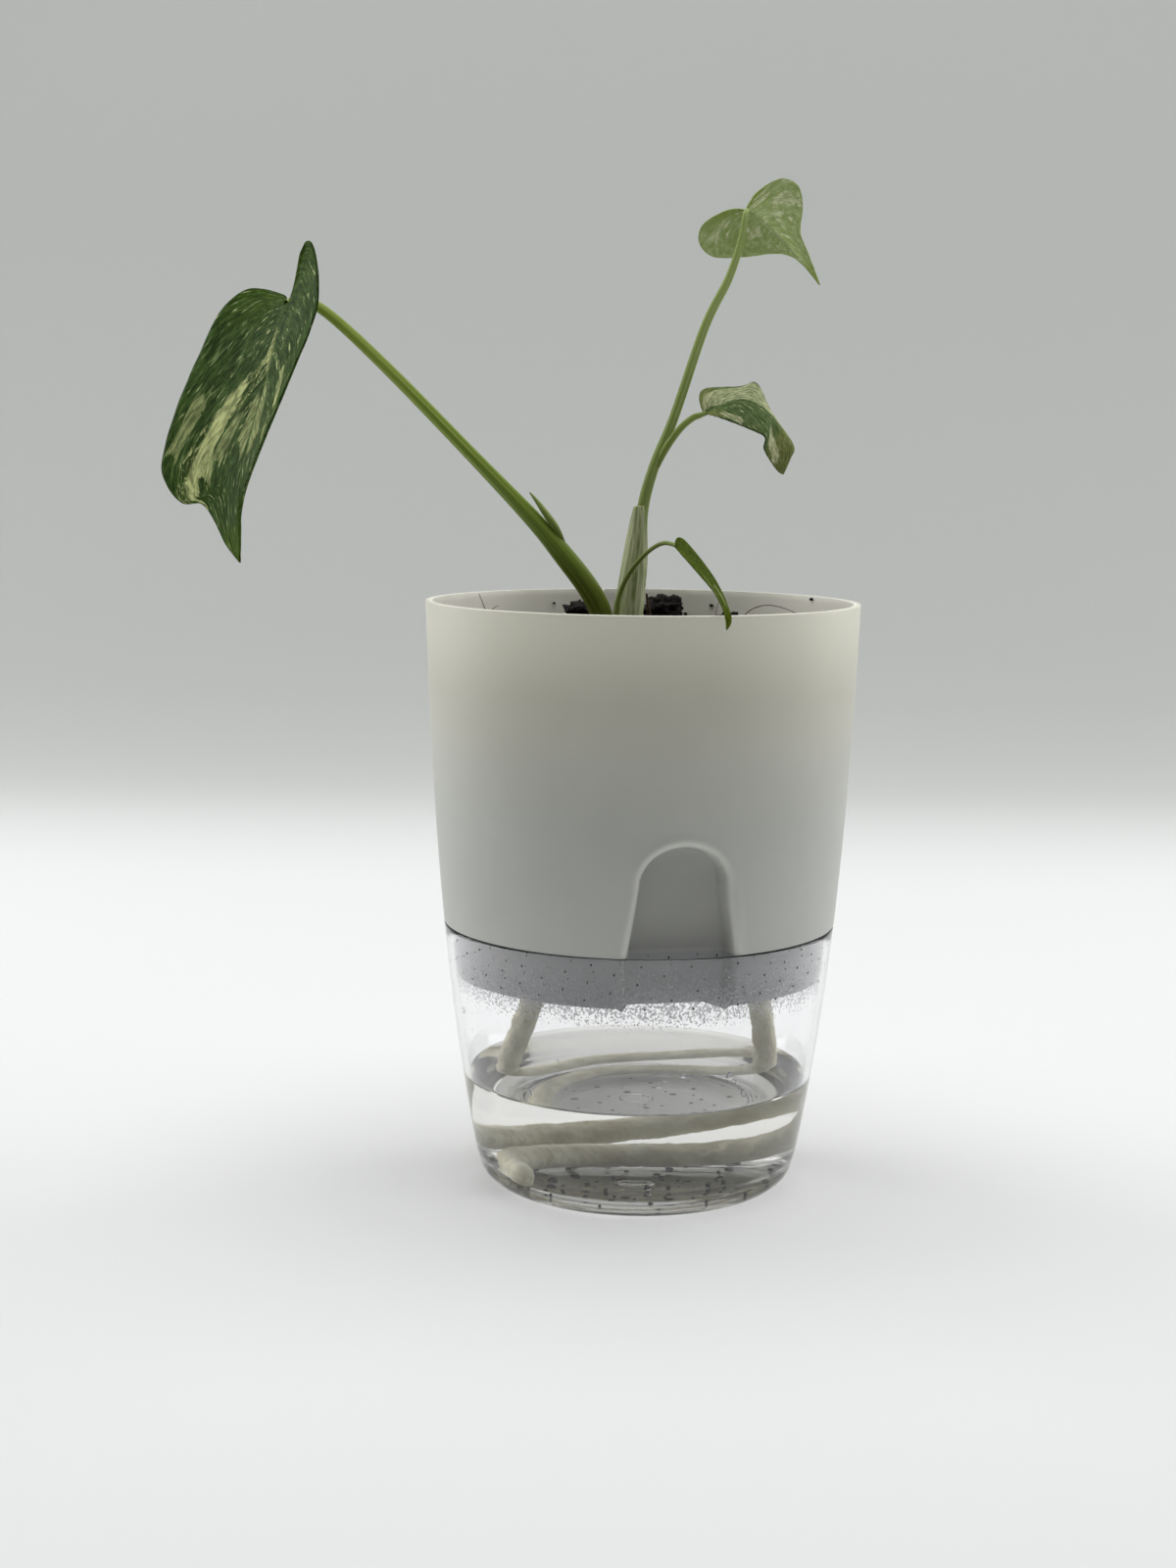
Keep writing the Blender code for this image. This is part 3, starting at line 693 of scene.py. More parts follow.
def planter_vertex(column, row):
    """The first rows fill the port's back, the next round its edge, the rest go round the pot."""
    across, height, angle = column_place(column)
    at_port = row < ROWS_BACK + len(EDGE_STEPS)
    offset, sunk = EDGE_STEPS[max(row - ROWS_BACK, 0)] if at_port else EDGE_STEPS[-1]
    share = min(row / ROWS_BACK, 1.0)
    if angle is None:
        side = -1.0 if across < 0 else 1.0
        near = ((abs(across) + offset) * side * share, height)
    else:
        reach = math.hypot(across, height - PORT_SPRING)
        grow = (reach + offset) / reach * share
        near = (across * grow, PORT_SPRING + (height - PORT_SPRING) * grow)
    turn = math.asin(max(-1.0, min(1.0, near[0] / shell_radius(near[1]))))
    if at_port:
        if height < SHOULDER:
            sunk = max(sunk, 0.0)
        return wall_point(turn, near[1], port_depth(*near) * sunk)
    step = (row - ROWS_BACK - len(EDGE_STEPS) + 1) / ROWS_OUT
    spread = step ** 1.35
    far_turn, far_height = far_place(column)
    return wall_point(turn + (far_turn - turn) * spread, near[1] + (far_height - near[1]) * spread)


def add_planter(material):
    columns = 2 * COLUMNS_SIDE + COLUMNS_ARCH
    rows = ROWS_BACK + len(EDGE_STEPS) - 1 + ROWS_OUT
    bm = bmesh.new()
    bmesh.ops.create_grid(bm, x_segments=columns, y_segments=rows, size=1.0)
    for vert in bm.verts:
        column = round((vert.co.x + 1.0) / 2.0 * columns)
        row = round((vert.co.y + 1.0) / 2.0 * rows)
        vert.co = planter_vertex(column, row)
    bmesh.ops.remove_doubles(bm, verts=bm.verts, dist=0.004)
    low_edges = [edge for edge in bm.edges if edge.is_boundary
                 and all(vert.co.z < SKIRT_BOTTOM + 0.5 for vert in edge.verts)]
    for shrink, lower in ((0.985, 0.25), (0.965, 0.1), (0.8, 0.0), (0.4, 0.0)):
        grown = bmesh.ops.extrude_edge_only(bm, edges=low_edges)["geom"]
        ring = [item for item in grown if isinstance(item, bmesh.types.BMVert)]
        low_edges = [item for item in grown if isinstance(item, bmesh.types.BMEdge)
                     and all(vert in ring for vert in item.verts)]
        bmesh.ops.scale(bm, vec=(shrink, shrink, 1.0), verts=ring)
        bmesh.ops.translate(bm, verts=ring, vec=(0.0, 0.0, -lower))
    bmesh.ops.holes_fill(bm, edges=low_edges, sides=0)
    bmesh.ops.recalc_face_normals(bm, faces=bm.faces)
    planter = add_piece("planter_shell", bm, material, POT, ["planter"])
    thicken(planter, PLANTER_WALL, -1.0)
    lip = planter.modifiers.new("lip", "BEVEL")
    lip.limit_method = "ANGLE"
    lip.angle_limit = math.radians(60)
    lip.width = 0.55 * MM
    lip.segments = 3


# %% White plastic
# Heights, radii and depths in metres between which one tone turns into the next.
# The body's tones are painted shade low down and painted warm light near the top,
# the lip's is painted light, the inside's is painted light on the inner wall, and
# the front depth bounds the port's painted highlight and painted shade.
BODY_PAINTED_SHADE_AND_LIGHT = (0.085, 0.132)
LIP_PAINTED_LIGHT = (0.118, 0.139)
INSIDE_PAINTED_LIGHT_HEIGHTS = (0.126, 0.130)
INSIDE_PAINTED_LIGHT_RADIUS = (0.0498, 0.0503)
FRONT_DEPTH = (-0.034, -0.030)


def make_white_plastic():
    finish = Finish("white_plastic")
    place = finish.place()
    cloud = finish.grain(place, 30.0, 3.0)
    fine = finish.grain(place, 2600.0, 2.0)
    across = finish.split(place)
    back, height = across.other("Y"), across.other("Z")
    # Painted shade: the body is darker low down, with warmer painted light near its top.
    colour = finish.mix(height.ramp(*BODY_PAINTED_SHADE_AND_LIGHT), (0.50, 0.508, 0.475), (0.60, 0.585, 0.485))
    # Painted light: the wall is lightened and warmed towards the lip.
    colour = finish.mix(height.ramp(*LIP_PAINTED_LIGHT), colour, (0.78, 0.77, 0.65))
    # Painted light on the inner wall above the potting mix.
    inside_painted_light = 1.0 - (across * across + back * back).root().ramp(*INSIDE_PAINTED_LIGHT_RADIUS)
    colour = finish.mix(inside_painted_light * height.ramp(*INSIDE_PAINTED_LIGHT_HEIGHTS), colour, (0.98, 0.94, 0.83))
    # Painted shade on the skirt that hangs inside the cup.
    colour = finish.mix(1.0 - height.ramp((SHOULDER - 0.3) * MM, SHOULDER * MM), colour, (0.42, 0.42, 0.43))
    turned_across = across * PORT_ACROSS.x + back * PORT_ACROSS.y
    above = (height - PORT_SPRING * MM).most(0.0) * (PORT_HIGH / (PORT_TOP - PORT_SPRING))
    half = height.ramp(SEAM * MM, PORT_SPRING * MM, PORT_LOW * MM, PORT_HIGH * MM)
    from_edge = (turned_across * turned_across + above * above).root() - half
    front = 1.0 - back.ramp(*FRONT_DEPTH)
    front = front * height.ramp(SHOULDER * MM, (SHOULDER + 1.0) * MM)
    # Painted highlight on the rounded edge of the port.
    edge_painted_highlight = from_edge.ramp(-0.0003, 0.0004) * (1.0 - from_edge.ramp(0.0009, 0.0024))
    colour = finish.mix(edge_painted_highlight * front * 0.32, colour, (0.86, 0.86, 0.80))
    # Painted shade inside the port's recess.
    port_painted_shade = (1.0 - from_edge.ramp(-0.0010, -0.0003)) * front
    colour = finish.mix(port_painted_shade * 0.6, colour, (0.34, 0.345, 0.32))
    colour = finish.mix(cloud.ramp(0.3, 0.7) * 0.1, colour, (0.9, 0.9, 0.84))
    finish.normal(finish.bump(fine, 0.08, 0.00004))
    return finish.surface(colour, cloud.ramp(0.3, 0.7, 0.42, 0.5), Specular_IOR_Level=0.4,
                          Subsurface_Weight=0.3, Subsurface_Radius=(0.003, 0.003, 0.0026))


add_planter(make_white_plastic())


# %% [markdown]
# ## The potting mix
#
# Dark, damp and crumbly. A turned disc is roughened with noise for the crust,
# and the crumbs that lie on it are small icospheres, each dented in its own
# way. The lumps and the bark chip are larger and finer.

# %% Potting mix
MIX_EDGE = 129.0
MIX_MOUND = 4.5
MIX_INSET = 1.95


def mix_height(x, y):
    return MIX_EDGE + MIX_MOUND * math.exp(-(math.hypot(x, y) / 24.0) ** 2)


def make_potting_mix():
    finish = Finish("potting_mix")
    place = finish.place()
    clump = finish.grain(place, 260.0, 6.0, 0.7)
    fibre = finish.grain(finish.stretch(place, (1.0, 3.5, 2.0)), 700.0, 4.0, 0.65)
    wet = finish.grain(place, 45.0, 2.0)
    base = finish.mix(clump.ramp(0.3, 0.75), shade(13, 10, 9), shade(38, 30, 25))
    colour = finish.mix(fibre.ramp(0.66, 0.8), base, shade(84, 64, 46))
    finish.normal(finish.bump(clump + 0.5 * fibre, 0.9, 0.0012))
    return finish.surface(colour, wet.ramp(0.35, 0.65, 0.62, 0.95), Specular_IOR_Level=0.2)


POTTING_MIX = make_potting_mix()


def finish_node(name, material):
    """Gives a CAD node that keeps its own shape a better material."""
    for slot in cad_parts[name].material_slots:
        slot.material = material


# %% Crust
def add_crust():
    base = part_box("soil_upper")[0][2] / MM
    profile = [(0.0, base), (wall_radius(base) - MIX_INSET, base)]
    profile += [(wall_radius(z) - MIX_INSET, z) for z in heights(base + 6.0, MIX_EDGE - 1.0, 5)]
    reach = wall_radius(MIX_EDGE) - MIX_INSET
    profile += [(reach * (1.0 - step / 64.0), MIX_EDGE) for step in range(64)]
    profile += [(0.0, MIX_EDGE)]
    bm = bmesh.new()
    turned(bm, profile, 220)
    for vert in bm.verts:
        if vert.co.z > MIX_EDGE - 0.5:
            x, y = vert.co.xy
            spot = Vector((x, y, 7.0))
            rough = 1.6 * noise.fractal(spot * 0.11, 0.9, 2.0, 3) + 0.8 * abs(noise.noise(spot * 0.45))
            rough += 0.35 * noise.noise(spot * 1.3)
            inside = min(1.0, (reach - math.hypot(x, y)) / 2.5)
            vert.co.z = mix_height(x, y) + rough * inside
    add_piece("soil_crust", bm, POTTING_MIX, POT, ["soil_upper"], 80.0)


add_crust()
for hidden in ("soil_behind_port", "soil_left_of_port", "soil_right_of_port"):
    finish_node(hidden, POTTING_MIX)


# %% Lumps and crumbs
def dented(bm, centre, radii, subdivisions, seed, rough=0.35, grain=1.6):
    """An icosphere pressed out of round by noise, its own way for each seed."""
    made = bmesh.ops.create_icosphere(bm, subdivisions=subdivisions, radius=1.0)["verts"]
    shift = Vector((seed * 3.17, seed * 1.71, seed * 2.29))
    for vert in made:
        n = vert.co.normalized()
        dent = rough * noise.noise(n * grain + shift) + 0.4 * rough * noise.noise(n * grain * 2.7 + shift)
        if subdivisions > 2:
            dent += 0.18 * rough * noise.noise(n * grain * 7.0 + shift)
        vert.co = Vector(tuple(c * r * (1.0 + dent) for c, r in zip(n, radii))) + Vector(centre)


SOIL_CLODS = {
    "soil_clod_middle": ((5.0, 9.0, 136.2), (4.2, 3.4, 3.6), 1.0),
    "soil_clod_left": ((-34.0, 19.0, 131.6), (3.0, 2.6, 2.8), 2.1),
    "soil_clod_back": ((-14.8, 14.0, 135.2), (3.6, 2.8, 2.8), 3.4),
    "soil_clod_right": ((21.0, 19.0, 132.6), (3.8, 3.0, 2.6), 4.2),
    "bark_chip": ((13.0, -14.0, 133.2), (4.6, 2.2, 1.6), 5.5),
}


GOLDEN_ANGLE = 2.399963


def golden(count):
    """Evenly scattered places on a disc of radius 1."""
    for step in range(count):
        turn = step * GOLDEN_ANGLE
        reach = math.sqrt((step + 0.5) / count)
        yield step, reach * math.cos(turn), reach * math.sin(turn)


def add_clods():
    for name, (centre, radii, seed) in SOIL_CLODS.items():
        bm = bmesh.new()
        dented(bm, centre, radii, 5, seed, 0.55, 1.9)
        for step, x, y in golden(16):
            at = Vector((x * radii[0], y * radii[1], radii[2] * (0.4 - 0.5 * (step % 3))))
            size = 0.5 + 0.25 * (step % 4)
            dented(bm, Vector(centre) + at, (size, size * 0.8, size * 0.7), 3, seed + step, 0.5)
        add_piece(name + "_lump", bm, POTTING_MIX, POT, [name], 80.0)


def add_crumbs():
    bm = bmesh.new()
    reach = wall_radius(MIX_EDGE) - 3.2
    for step, x, y in golden(1300):
        wobble = noise.noise(Vector((step * 0.37, 1.0, 4.0)))
        size = 0.35 + 0.75 * abs(noise.noise(Vector((step * 0.73, 2.0, 9.0)))) * 1.8
        x, y = x * reach + wobble, y * reach - wobble
        z = mix_height(x, y) + 0.5 + 0.8 * abs(noise.noise(Vector((x * 0.2, y * 0.2, 3.0))))
        dented(bm, (x, y, z), (size, size * 0.8, size * 0.75), 2 if size > 0.9 else 1, step * 0.61, 0.5)
    for step in range(46):
        angle = math.tau * step * 0.618
        z = 130.5 + 6.5 * abs(noise.noise(Vector((step * 0.9, 5.0, 1.0)))) * 1.7
        size = 0.22 + 0.2 * (step % 3)
        dented(bm, round_axis(wall_radius(z) - 1.75, angle, z), (size, size, size * 0.7), 1, step)
    add_piece("soil_crumbs", bm, POTTING_MIX, POT, (), 80.0)


add_clods()
add_crumbs()


# %% Fine roots on the crust
def make_dry_fibre():
    finish = Finish("dry_fibre")
    streaky = finish.grain(finish.place(), 400.0, 3.0)
    colour = finish.mix(streaky.ramp(0.35, 0.65), shade(66, 52, 40), shade(120, 100, 78))
    return finish.surface(colour, 0.85)


DRY_FIBRE = make_dry_fibre()
FIBRES = [
    ([(24.0, 22.0, 130.2), (25.6, 27.0, 134.6), (31.0, 31.5, 136.4), (37.5, 30.5, 134.8),
      (41.0, 28.0, 131.5)], 0.16),
    ([(17.5, 26.0, 130.0), (18.2, 27.0, 135.0), (19.4, 27.6, 139.4)], 0.13),
    ([(-38.0, 22.0, 130.4), (-38.6, 23.5, 134.5), (-40.4, 25.0, 138.8)], 0.2),
    ([(-38.2, 22.5, 132.5), (-36.8, 23.0, 135.2), (-35.6, 24.0, 136.0)], 0.14),
    ([(-10.5, 12.5, 136.5), (-12.6, 12.0, 139.6), (-14.6, 12.5, 139.9)], 0.24),
    ([(-12.0, -26.0, 130.5), (-2.0, -29.0, 132.2), (9.0, -27.0, 131.8), (18.0, -30.0, 130.6)], 0.18),
    ([(-30.0, -8.0, 131.0), (-26.0, -1.0, 133.0), (-21.0, 2.0, 133.2), (-17.0, 9.0, 132.2)], 0.18),
    ([(22.0, -4.0, 132.0), (28.0, 2.0, 133.2), (30.0, 9.0, 131.8), (36.0, 12.0, 131.0)], 0.17),
    ([(2.0, 30.0, 131.0), (-6.0, 34.0, 132.4), (-15.0, 33.0, 131.8), (-22.0, 36.0, 130.4)], 0.16),
]


def add_fibres():
    bm = bmesh.new()
    for route, radius in FIBRES:
        tube(bm, even_route(route, 28), 6, lambda t, angle: radius * (1.0 - 0.55 * t))
    add_piece("fine_roots", bm, DRY_FIBRE, POT)


add_fibres()


# %% Crown and main roots
def make_root_skin():
    finish = Finish("root_skin")
    place = finish.place()
    ring = finish.grain(finish.stretch(place, (1.0, 1.0, 4.0)), 300.0, 4.0)
    colour = finish.mix(ring.ramp(0.3, 0.7), shade(150, 126, 92), shade(196, 176, 140))
    finish.normal(finish.bump(ring, 0.5, 0.0004))
    return finish.surface(colour, 0.8)


ROOT_SKIN = make_root_skin()
for root in ("root_front", "root_back", "root_left", "root_right"):
    finish_node(root, ROOT_SKIN)


# %% [markdown]
# ## The leaf stalks
#
# Each stalk is a tube that thins towards its leaf. The grid that the tube is
# rolled from gives a UV map, so the fine lines and the pale stripe run along
# the stalk however it bends. A shallow groove follows the upper side.

# %% Stalk skin
def make_stalk(name, low, middle, high, stripe, stripe_at, speck=0.0):
    """Colours run from the foot to the leaf; the stripe lies at its own turn."""
    finish = Finish(name)
    across = finish.split(finish.uv())
    along = across.other("Y")
    lines = finish.grain(finish.join(across * 60.0, along * 3.0), 1.0, 3.0, 0.6)
    cloud = finish.grain(finish.join(across * 6.0, along * 9.0), 1.0, 3.0)
    base = finish.mix(along.ramp(0.0, 0.32), low, middle)
    base = finish.mix(along.ramp(0.45, 1.0), base, high)
    base = finish.mix(lines.ramp(0.35, 0.7) * 0.45, base, stripe)
    for turn, width, strength in stripe_at:
        near = (across - turn + 0.012 * (cloud - 0.5)).size()
        base = finish.mix((1.0 - near.ramp(width * 0.4, width)) * along.ramp(0.15, 0.6) * strength, base, stripe)
    if speck:
        dots = finish.grain(finish.join(across * 30.0, along * 60.0), 1.0, 2.0, 0.7)
        base = finish.mix(dots.ramp(0.62, 0.7) * speck, base, stripe)
    finish.normal(finish.bump(lines, 0.35, 0.0003))
    return finish.surface(base, cloud.ramp(0.3, 0.7, 0.4, 0.52), Specular_IOR_Level=0.25)


# %% Stalk routes
PETIOLE_LARGE = [(-9.2, 1.2, 130.5, 2.7), (-9.9, 0.8, 136.5, 2.7), (-12.9, 0.0, 142.2, 2.65),
                 (-18.3, -0.8, 149.2, 2.5), (-25.6, -1.5, 157.7, 2.1), (-39.3, -2.7, 171.8, 1.65),
                 (-57.4, -4.3, 190.1, 1.45), (-70.8, -4.9, 202.6, 1.3), (-77.6, -4.2, 207.2, 1.2),
                 (-80.6, -3.6, 207.6, 1.1), (-82.6, -5.8, 206.6, 0.85)]
PETIOLE_TALL = [(-2.2, 0.8, 130.5, 1.7), (-1.3, 0.6, 137.5, 1.6), (-0.4, 0.3, 148.0, 1.5),
                (-0.3, 0.0, 160.0, 1.45), (2.3, 0.0, 170.5, 1.3), (6.8, 0.0, 182.0, 1.2),
                (13.6, 0.0, 202.6, 1.1), (18.9, 0.0, 213.6, 1.0), (21.5, -0.1, 222.0, 0.85),
                (22.4, -0.1, 227.6, 0.75), (22.7, 1.2, 228.9, 0.6)]
PETIOLE_MIDDLE = [(1.4, 0.2, 166.6, 0.6), (2.9, -0.3, 170.6, 0.8), (5.1, -1.5, 174.9, 0.9),
                  (8.2, -2.4, 179.2, 0.85), (11.0, -2.4, 181.6, 0.8), (12.5, -2.5, 182.2, 0.7),
                  (14.2, -2.7, 182.8, 0.5)]
PETIOLE_SMALL = [(-5.8, -5.0, 130.5, 0.75), (-6.0, -4.9, 137.0, 0.7), (-4.9, -5.6, 142.2, 0.6),
                 (-2.3, -8.0, 147.2, 0.55), (1.4, -12.5, 151.4, 0.5), (4.6, -17.0, 153.3, 0.5),
                 (7.4, -21.0, 152.9, 0.45)]
LIGULE = [(-18.8, -1.3, 152.6, 0.6), (-20.4, -2.2, 155.8, 0.9), (-22.6, -2.7, 159.0, 0.85),
          (-25.0, -2.4, 162.2, 0.5), (-26.7, -2.2, 164.2, 0.15)]
DRY_STRIP = [(1.9, -2.2, 131.2, 0.7), (1.6, -2.6, 135.5, 0.6), (0.9, -2.9, 141.0, 0.25)]


# %% Stalks
def add_stalk(name, route, material, node, sides, count, groove=0.1):
    points = even_route(route, count)
    bm = bmesh.new()

    def radius_at(t, angle):
        radius = points[round(t * (count - 1))][3]
        off = abs((angle - math.pi * 0.5 + math.pi) % math.tau - math.pi)
        dip = groove * math.exp(-(off / 0.35) ** 2)
        return radius * (1.0 - dip + 0.012 * math.sin(angle * 7.0 + 3.0 * t))

    tube(bm, points, sides, radius_at)
    add_piece(name, bm, material, POT, [node])


LARGE_STALK = make_stalk("large_stalk", shade(88, 100, 18), shade(98, 124, 24), shade(134, 152, 52),
                         shade(168, 184, 92), [(0.06, 0.035, 0.75), (0.9, 0.03, 0.6)])
TALL_STALK = make_stalk("tall_stalk", shade(106, 126, 42), shade(114, 134, 50), shade(142, 162, 78),
                        shade(186, 198, 140), [(0.02, 0.05, 0.5), (0.4, 0.05, 0.5)], 0.3)
SMALL_STALK = make_stalk("small_stalk", shade(96, 112, 34), shade(116, 134, 52), shade(120, 140, 60),
                         shade(168, 182, 108), [(0.1, 0.08, 0.5)])
add_stalk("stalk_large", PETIOLE_LARGE, LARGE_STALK, "petiole_large", 36, 200)
add_stalk("stalk_tall", PETIOLE_TALL, TALL_STALK, "petiole_tall", 28, 180)
add_stalk("stalk_middle", PETIOLE_MIDDLE, SMALL_STALK, "petiole_middle", 20, 60)
add_stalk("stalk_small", PETIOLE_SMALL, SMALL_STALK, "petiole_small", 18, 90)
add_stalk("ligule_tip", LIGULE, SMALL_STALK, "ligule", 14, 40)
finish_node("stem_crown", LARGE_STALK)


# %% [markdown]
# ## The leaves
#
# A blade is two halves that meet at the midrib. Each half is ruled from the
# midrib to its own edge, and then bowed and puckered between its side veins.
# The grid's UV map tells the finish how far out from the midrib and how far
# towards the tip a point lies, and the cream streaks, the fleck and the veins
# are all drawn in those two measures, so they follow the blade's folds.

# %% Leaf skin
VEIN_WAVES = 82.0
BLADE_THICKNESS = 0.45


def make_blade(name, deep, green, warm, pale, cream, slope, streaks, fleck, tip, grain):
    """streaks: (side, start, end, centre, half width, strength) for each cream streak."""
    finish = Finish(name)
    uv = finish.split(finish.uv())
    signed = uv * 2.0 - 1.0
    tipward = uv.other("Y")
    out = signed.size()
    vein = tipward - slope * out
    is_left = 1.0 - signed.ramp(-0.004, 0.004)
    drift = finish.grain(finish.join(vein * 9.0, out * 4.0, is_left * 3.0), 1.0, 3.0)
    mottle = finish.grain(finish.join(vein * grain, out * grain * 0.26, is_left * 5.0), 1.0, 4.0, 0.7)
    dash = finish.grain(finish.join(vein * grain * 0.8, out * grain * 0.2, is_left * 9.0), 1.0, 2.0, 0.6)
    patch = finish.grain(finish.join(vein * 16.0, out * 8.0, is_left * 7.0), 1.0, 3.0)
    colour = finish.mix(drift.ramp(0.4, 0.62) * 0.4, green, deep)
    colour = finish.mix(mottle.ramp(0.47, 0.58) * 0.8, colour, deep)
    sunny = tipward.ramp(tip, tip + 0.09) + (1.0 - tipward.ramp(0.10, 0.34)) * out.ramp(0.2, 0.6)
    colour = finish.mix(sunny * 0.75, colour, finish.mix(mottle.ramp(0.42, 0.6) * 0.7, warm, deep))
    colour = finish.mix((1.0 - mottle.ramp(0.34, 0.44)) * 0.5, colour, pale)
    flecks = dash.ramp(0.56, 0.64) * patch.ramp(0.40, 0.58)
    colour = finish.mix(flecks * fleck, colour, pale)
    colour = finish.mix(dash.ramp(0.65, 0.71) * fleck, colour, cream)
    ragged = 0.05 * (mottle - 0.5) + 0.10 * (patch - 0.5)
    for side, start, end, centre, half, strength in streaks:
        length = end - start
        swell = out.ramp(start, start + 0.4 * length) * (1.0 - out.ramp(end - 0.5 * length, end))
        near = (vein - centre + ragged).size() / (half * swell + 0.002)
        mask = 1.0 - near.ramp(0.8, 1.1)
        mask = mask * (is_left if side < 0 else 1.0 - is_left)
        clean = mottle.ramp(0.40, 0.58, 1.0, 0.35)
        colour = finish.mix(mask * clean * strength, colour, cream)
    rib = 1.0 - out.ramp(0.0, 0.03)
    colour = finish.mix(rib * 0.45, colour, pale)
    colour = finish.mix((1.0 - (1.0 - out).ramp(0.0, 0.02)) * 0.4, colour, deep)
    wave = (vein * VEIN_WAVES).sine()
    finish.normal(finish.bump(0.12 * wave + 0.35 * mottle - rib, 0.5, 0.0004))
    return finish.surface(colour, drift.ramp(0.3, 0.7, 0.45, 0.58), Specular_IOR_Level=0.03)


LARGE_STREAKS = [
    (-1, 0.20, 0.64, 0.345, 0.055, 0.9), (-1, 0.34, 0.70, 0.400, 0.085, 0.85), (-1, 0.50, 1.05, 0.385, 0.032, 1.0),
    (-1, 0.68, 0.98, 0.195, 0.070, 0.45), (-1, -0.05, 0.09, 0.310, 0.110, 0.8), (-1, 0.0, 0.20, 0.330, 0.020, 0.6),
    (-1, 0.18, 0.44, 0.480, 0.055, 0.45), (-1, -0.02, 0.17, 0.560, 0.100, 0.5),
    (1, -0.10, 0.22, 0.560, 0.110, 0.55), (1, 0.24, 0.56, 0.330, 0.035, 0.8), (1, 0.3, 0.6, 0.44, 0.02, 0.5),
]
HEART_STREAKS = [
    (1, 0.10, 0.80, 0.05, 0.05, 0.7), (1, 0.35, 0.95, 0.20, 0.05, 0.6), (1, 0.50, 1.0, -0.05, 0.03, 0.7),
    (1, 0.05, 0.45, 0.30, 0.04, 0.5), (-1, 0.05, 0.35, 0.34, 0.05, 0.6), (-1, 0.4, 0.9, 0.08, 0.03, 0.5),
]
MIDDLE_STREAKS = [
    (-1, -0.10, 1.2, 0.28, 0.42, 0.6), (-1, 0.30, 1.05, 0.50, 0.14, 0.6), (-1, 0.2, 0.8, 0.0, 0.05, 0.5),
    (1, 0.55, 1.05, 0.10, 0.10, 0.6), (1, 0.35, 1.05, 0.56, 0.09, 1.0),
]
SMALL_STREAKS = [(-1, 0.2, 1.0, 0.55, 0.10, 0.6), (1, 0.3, 1.0, 0.65, 0.10, 0.7)]


# %% Blade outlines
# Both edges start where the midrib starts and end where it ends.
LEAF_LARGE = {
    "midrib": [(-82.6, -6.0, 206.5), (-84.5, -6.0, 200.6), (-87.4, -7.0, 188.0), (-91.0, -8.0, 175.3),
               (-93.6, -9.0, 163.0), (-93.6, -8.0, 147.4)],
    "left": [(-84.2, -2.0, 209.0), (-93.4, 7.0, 210.7), (-100.7, 11.0, 205.9), (-105.8, 13.0, 197.0),
             (-111.9, 13.0, 183.4), (-115.5, 12.0, 170.8), (-114.2, 10.0, 165.0), (-109.8, 7.0, 160.6),
             (-104.9, 4.0, 160.7), (-101.5, 1.0, 157.5), (-97.5, -4.0, 151.3)],
    "right": [(-80.3, -9.0, 208.5), (-77.4, -18.0, 217.0), (-74.9, -22.0, 219.2), (-72.6, -27.0, 214.1),
              (-72.1, -32.0, 203.5), (-78.0, -31.0, 189.3), (-85.8, -24.0, 174.2),
              (-93.0, -11.0, 161.5), (-93.7, -9.0, 155.1)],
}
LEAF_HEART = {
    "midrib": [(22.5, 1.7, 228.9), (24.5, 2.0, 228.0), (28.9, 2.1, 224.3), (33.7, 1.7, 219.5),
               (39.9, 0.5, 212.2)],
    "left": [(18.5, 3.0, 229.2), (12.9, 4.2, 226.2), (11.9, 4.6, 222.0), (15.3, 4.2, 218.7),
             (22.6, 3.6, 218.7), (32.7, 2.6, 219.1)],
    "right": [(25.0, 3.2, 233.2), (30.4, 4.6, 236.5), (34.5, 5.0, 235.1), (35.8, 4.6, 230.4),
              (35.3, 3.4, 224.4), (37.2, 2.0, 219.3)],
}
LEAF_MIDDLE = {
    "midrib": [(13.8, -2.5, 182.5), (16.8, -3.5, 184.3), (21.2, -4.5, 185.4), (26.8, -5.5, 183.6),
               (31.7, -7.0, 178.3), (33.7, -8.0, 175.0), (32.6, -8.5, 171.2), (31.8, -7.5, 169.0)],
    "left": [(12.6, 1.0, 185.9), (14.0, 3.5, 188.4), (22.2, 4.0, 189.0), (25.9, 3.5, 189.7),
             (29.1, 0.0, 183.3), (34.0, -5.4, 175.6), (33.4, -6.5, 173.0)],
    "right": [(17.2, -8.0, 181.7), (24.0, -11.0, 179.1), (27.4, -11.5, 177.3), (27.3, -11.0, 174.5),
              (30.1, -9.0, 170.1)],
}
LEAF_SMALL = {
    "midrib": [(6.9, -20.0, 153.0), (10.3, -28.0, 150.8), (13.6, -38.0, 147.0), (16.2, -46.0, 143.4),
               (17.7, -52.4, 140.3), (18.2, -53.4, 138.3), (17.8, -53.4, 136.4)],
    "left": [(8.4, -25.5, 151.4), (12.1, -36.0, 147.5), (15.4, -45.0, 143.9), (17.1, -52.0, 140.9),
             (17.7, -53.6, 138.6)],
    "right": [(8.0, -21.5, 154.8), (10.2, -26.0, 153.2), (14.6, -39.0, 147.9), (17.0, -46.8, 143.9),
              (18.3, -52.8, 140.6), (18.7, -54.0, 138.3)],
}


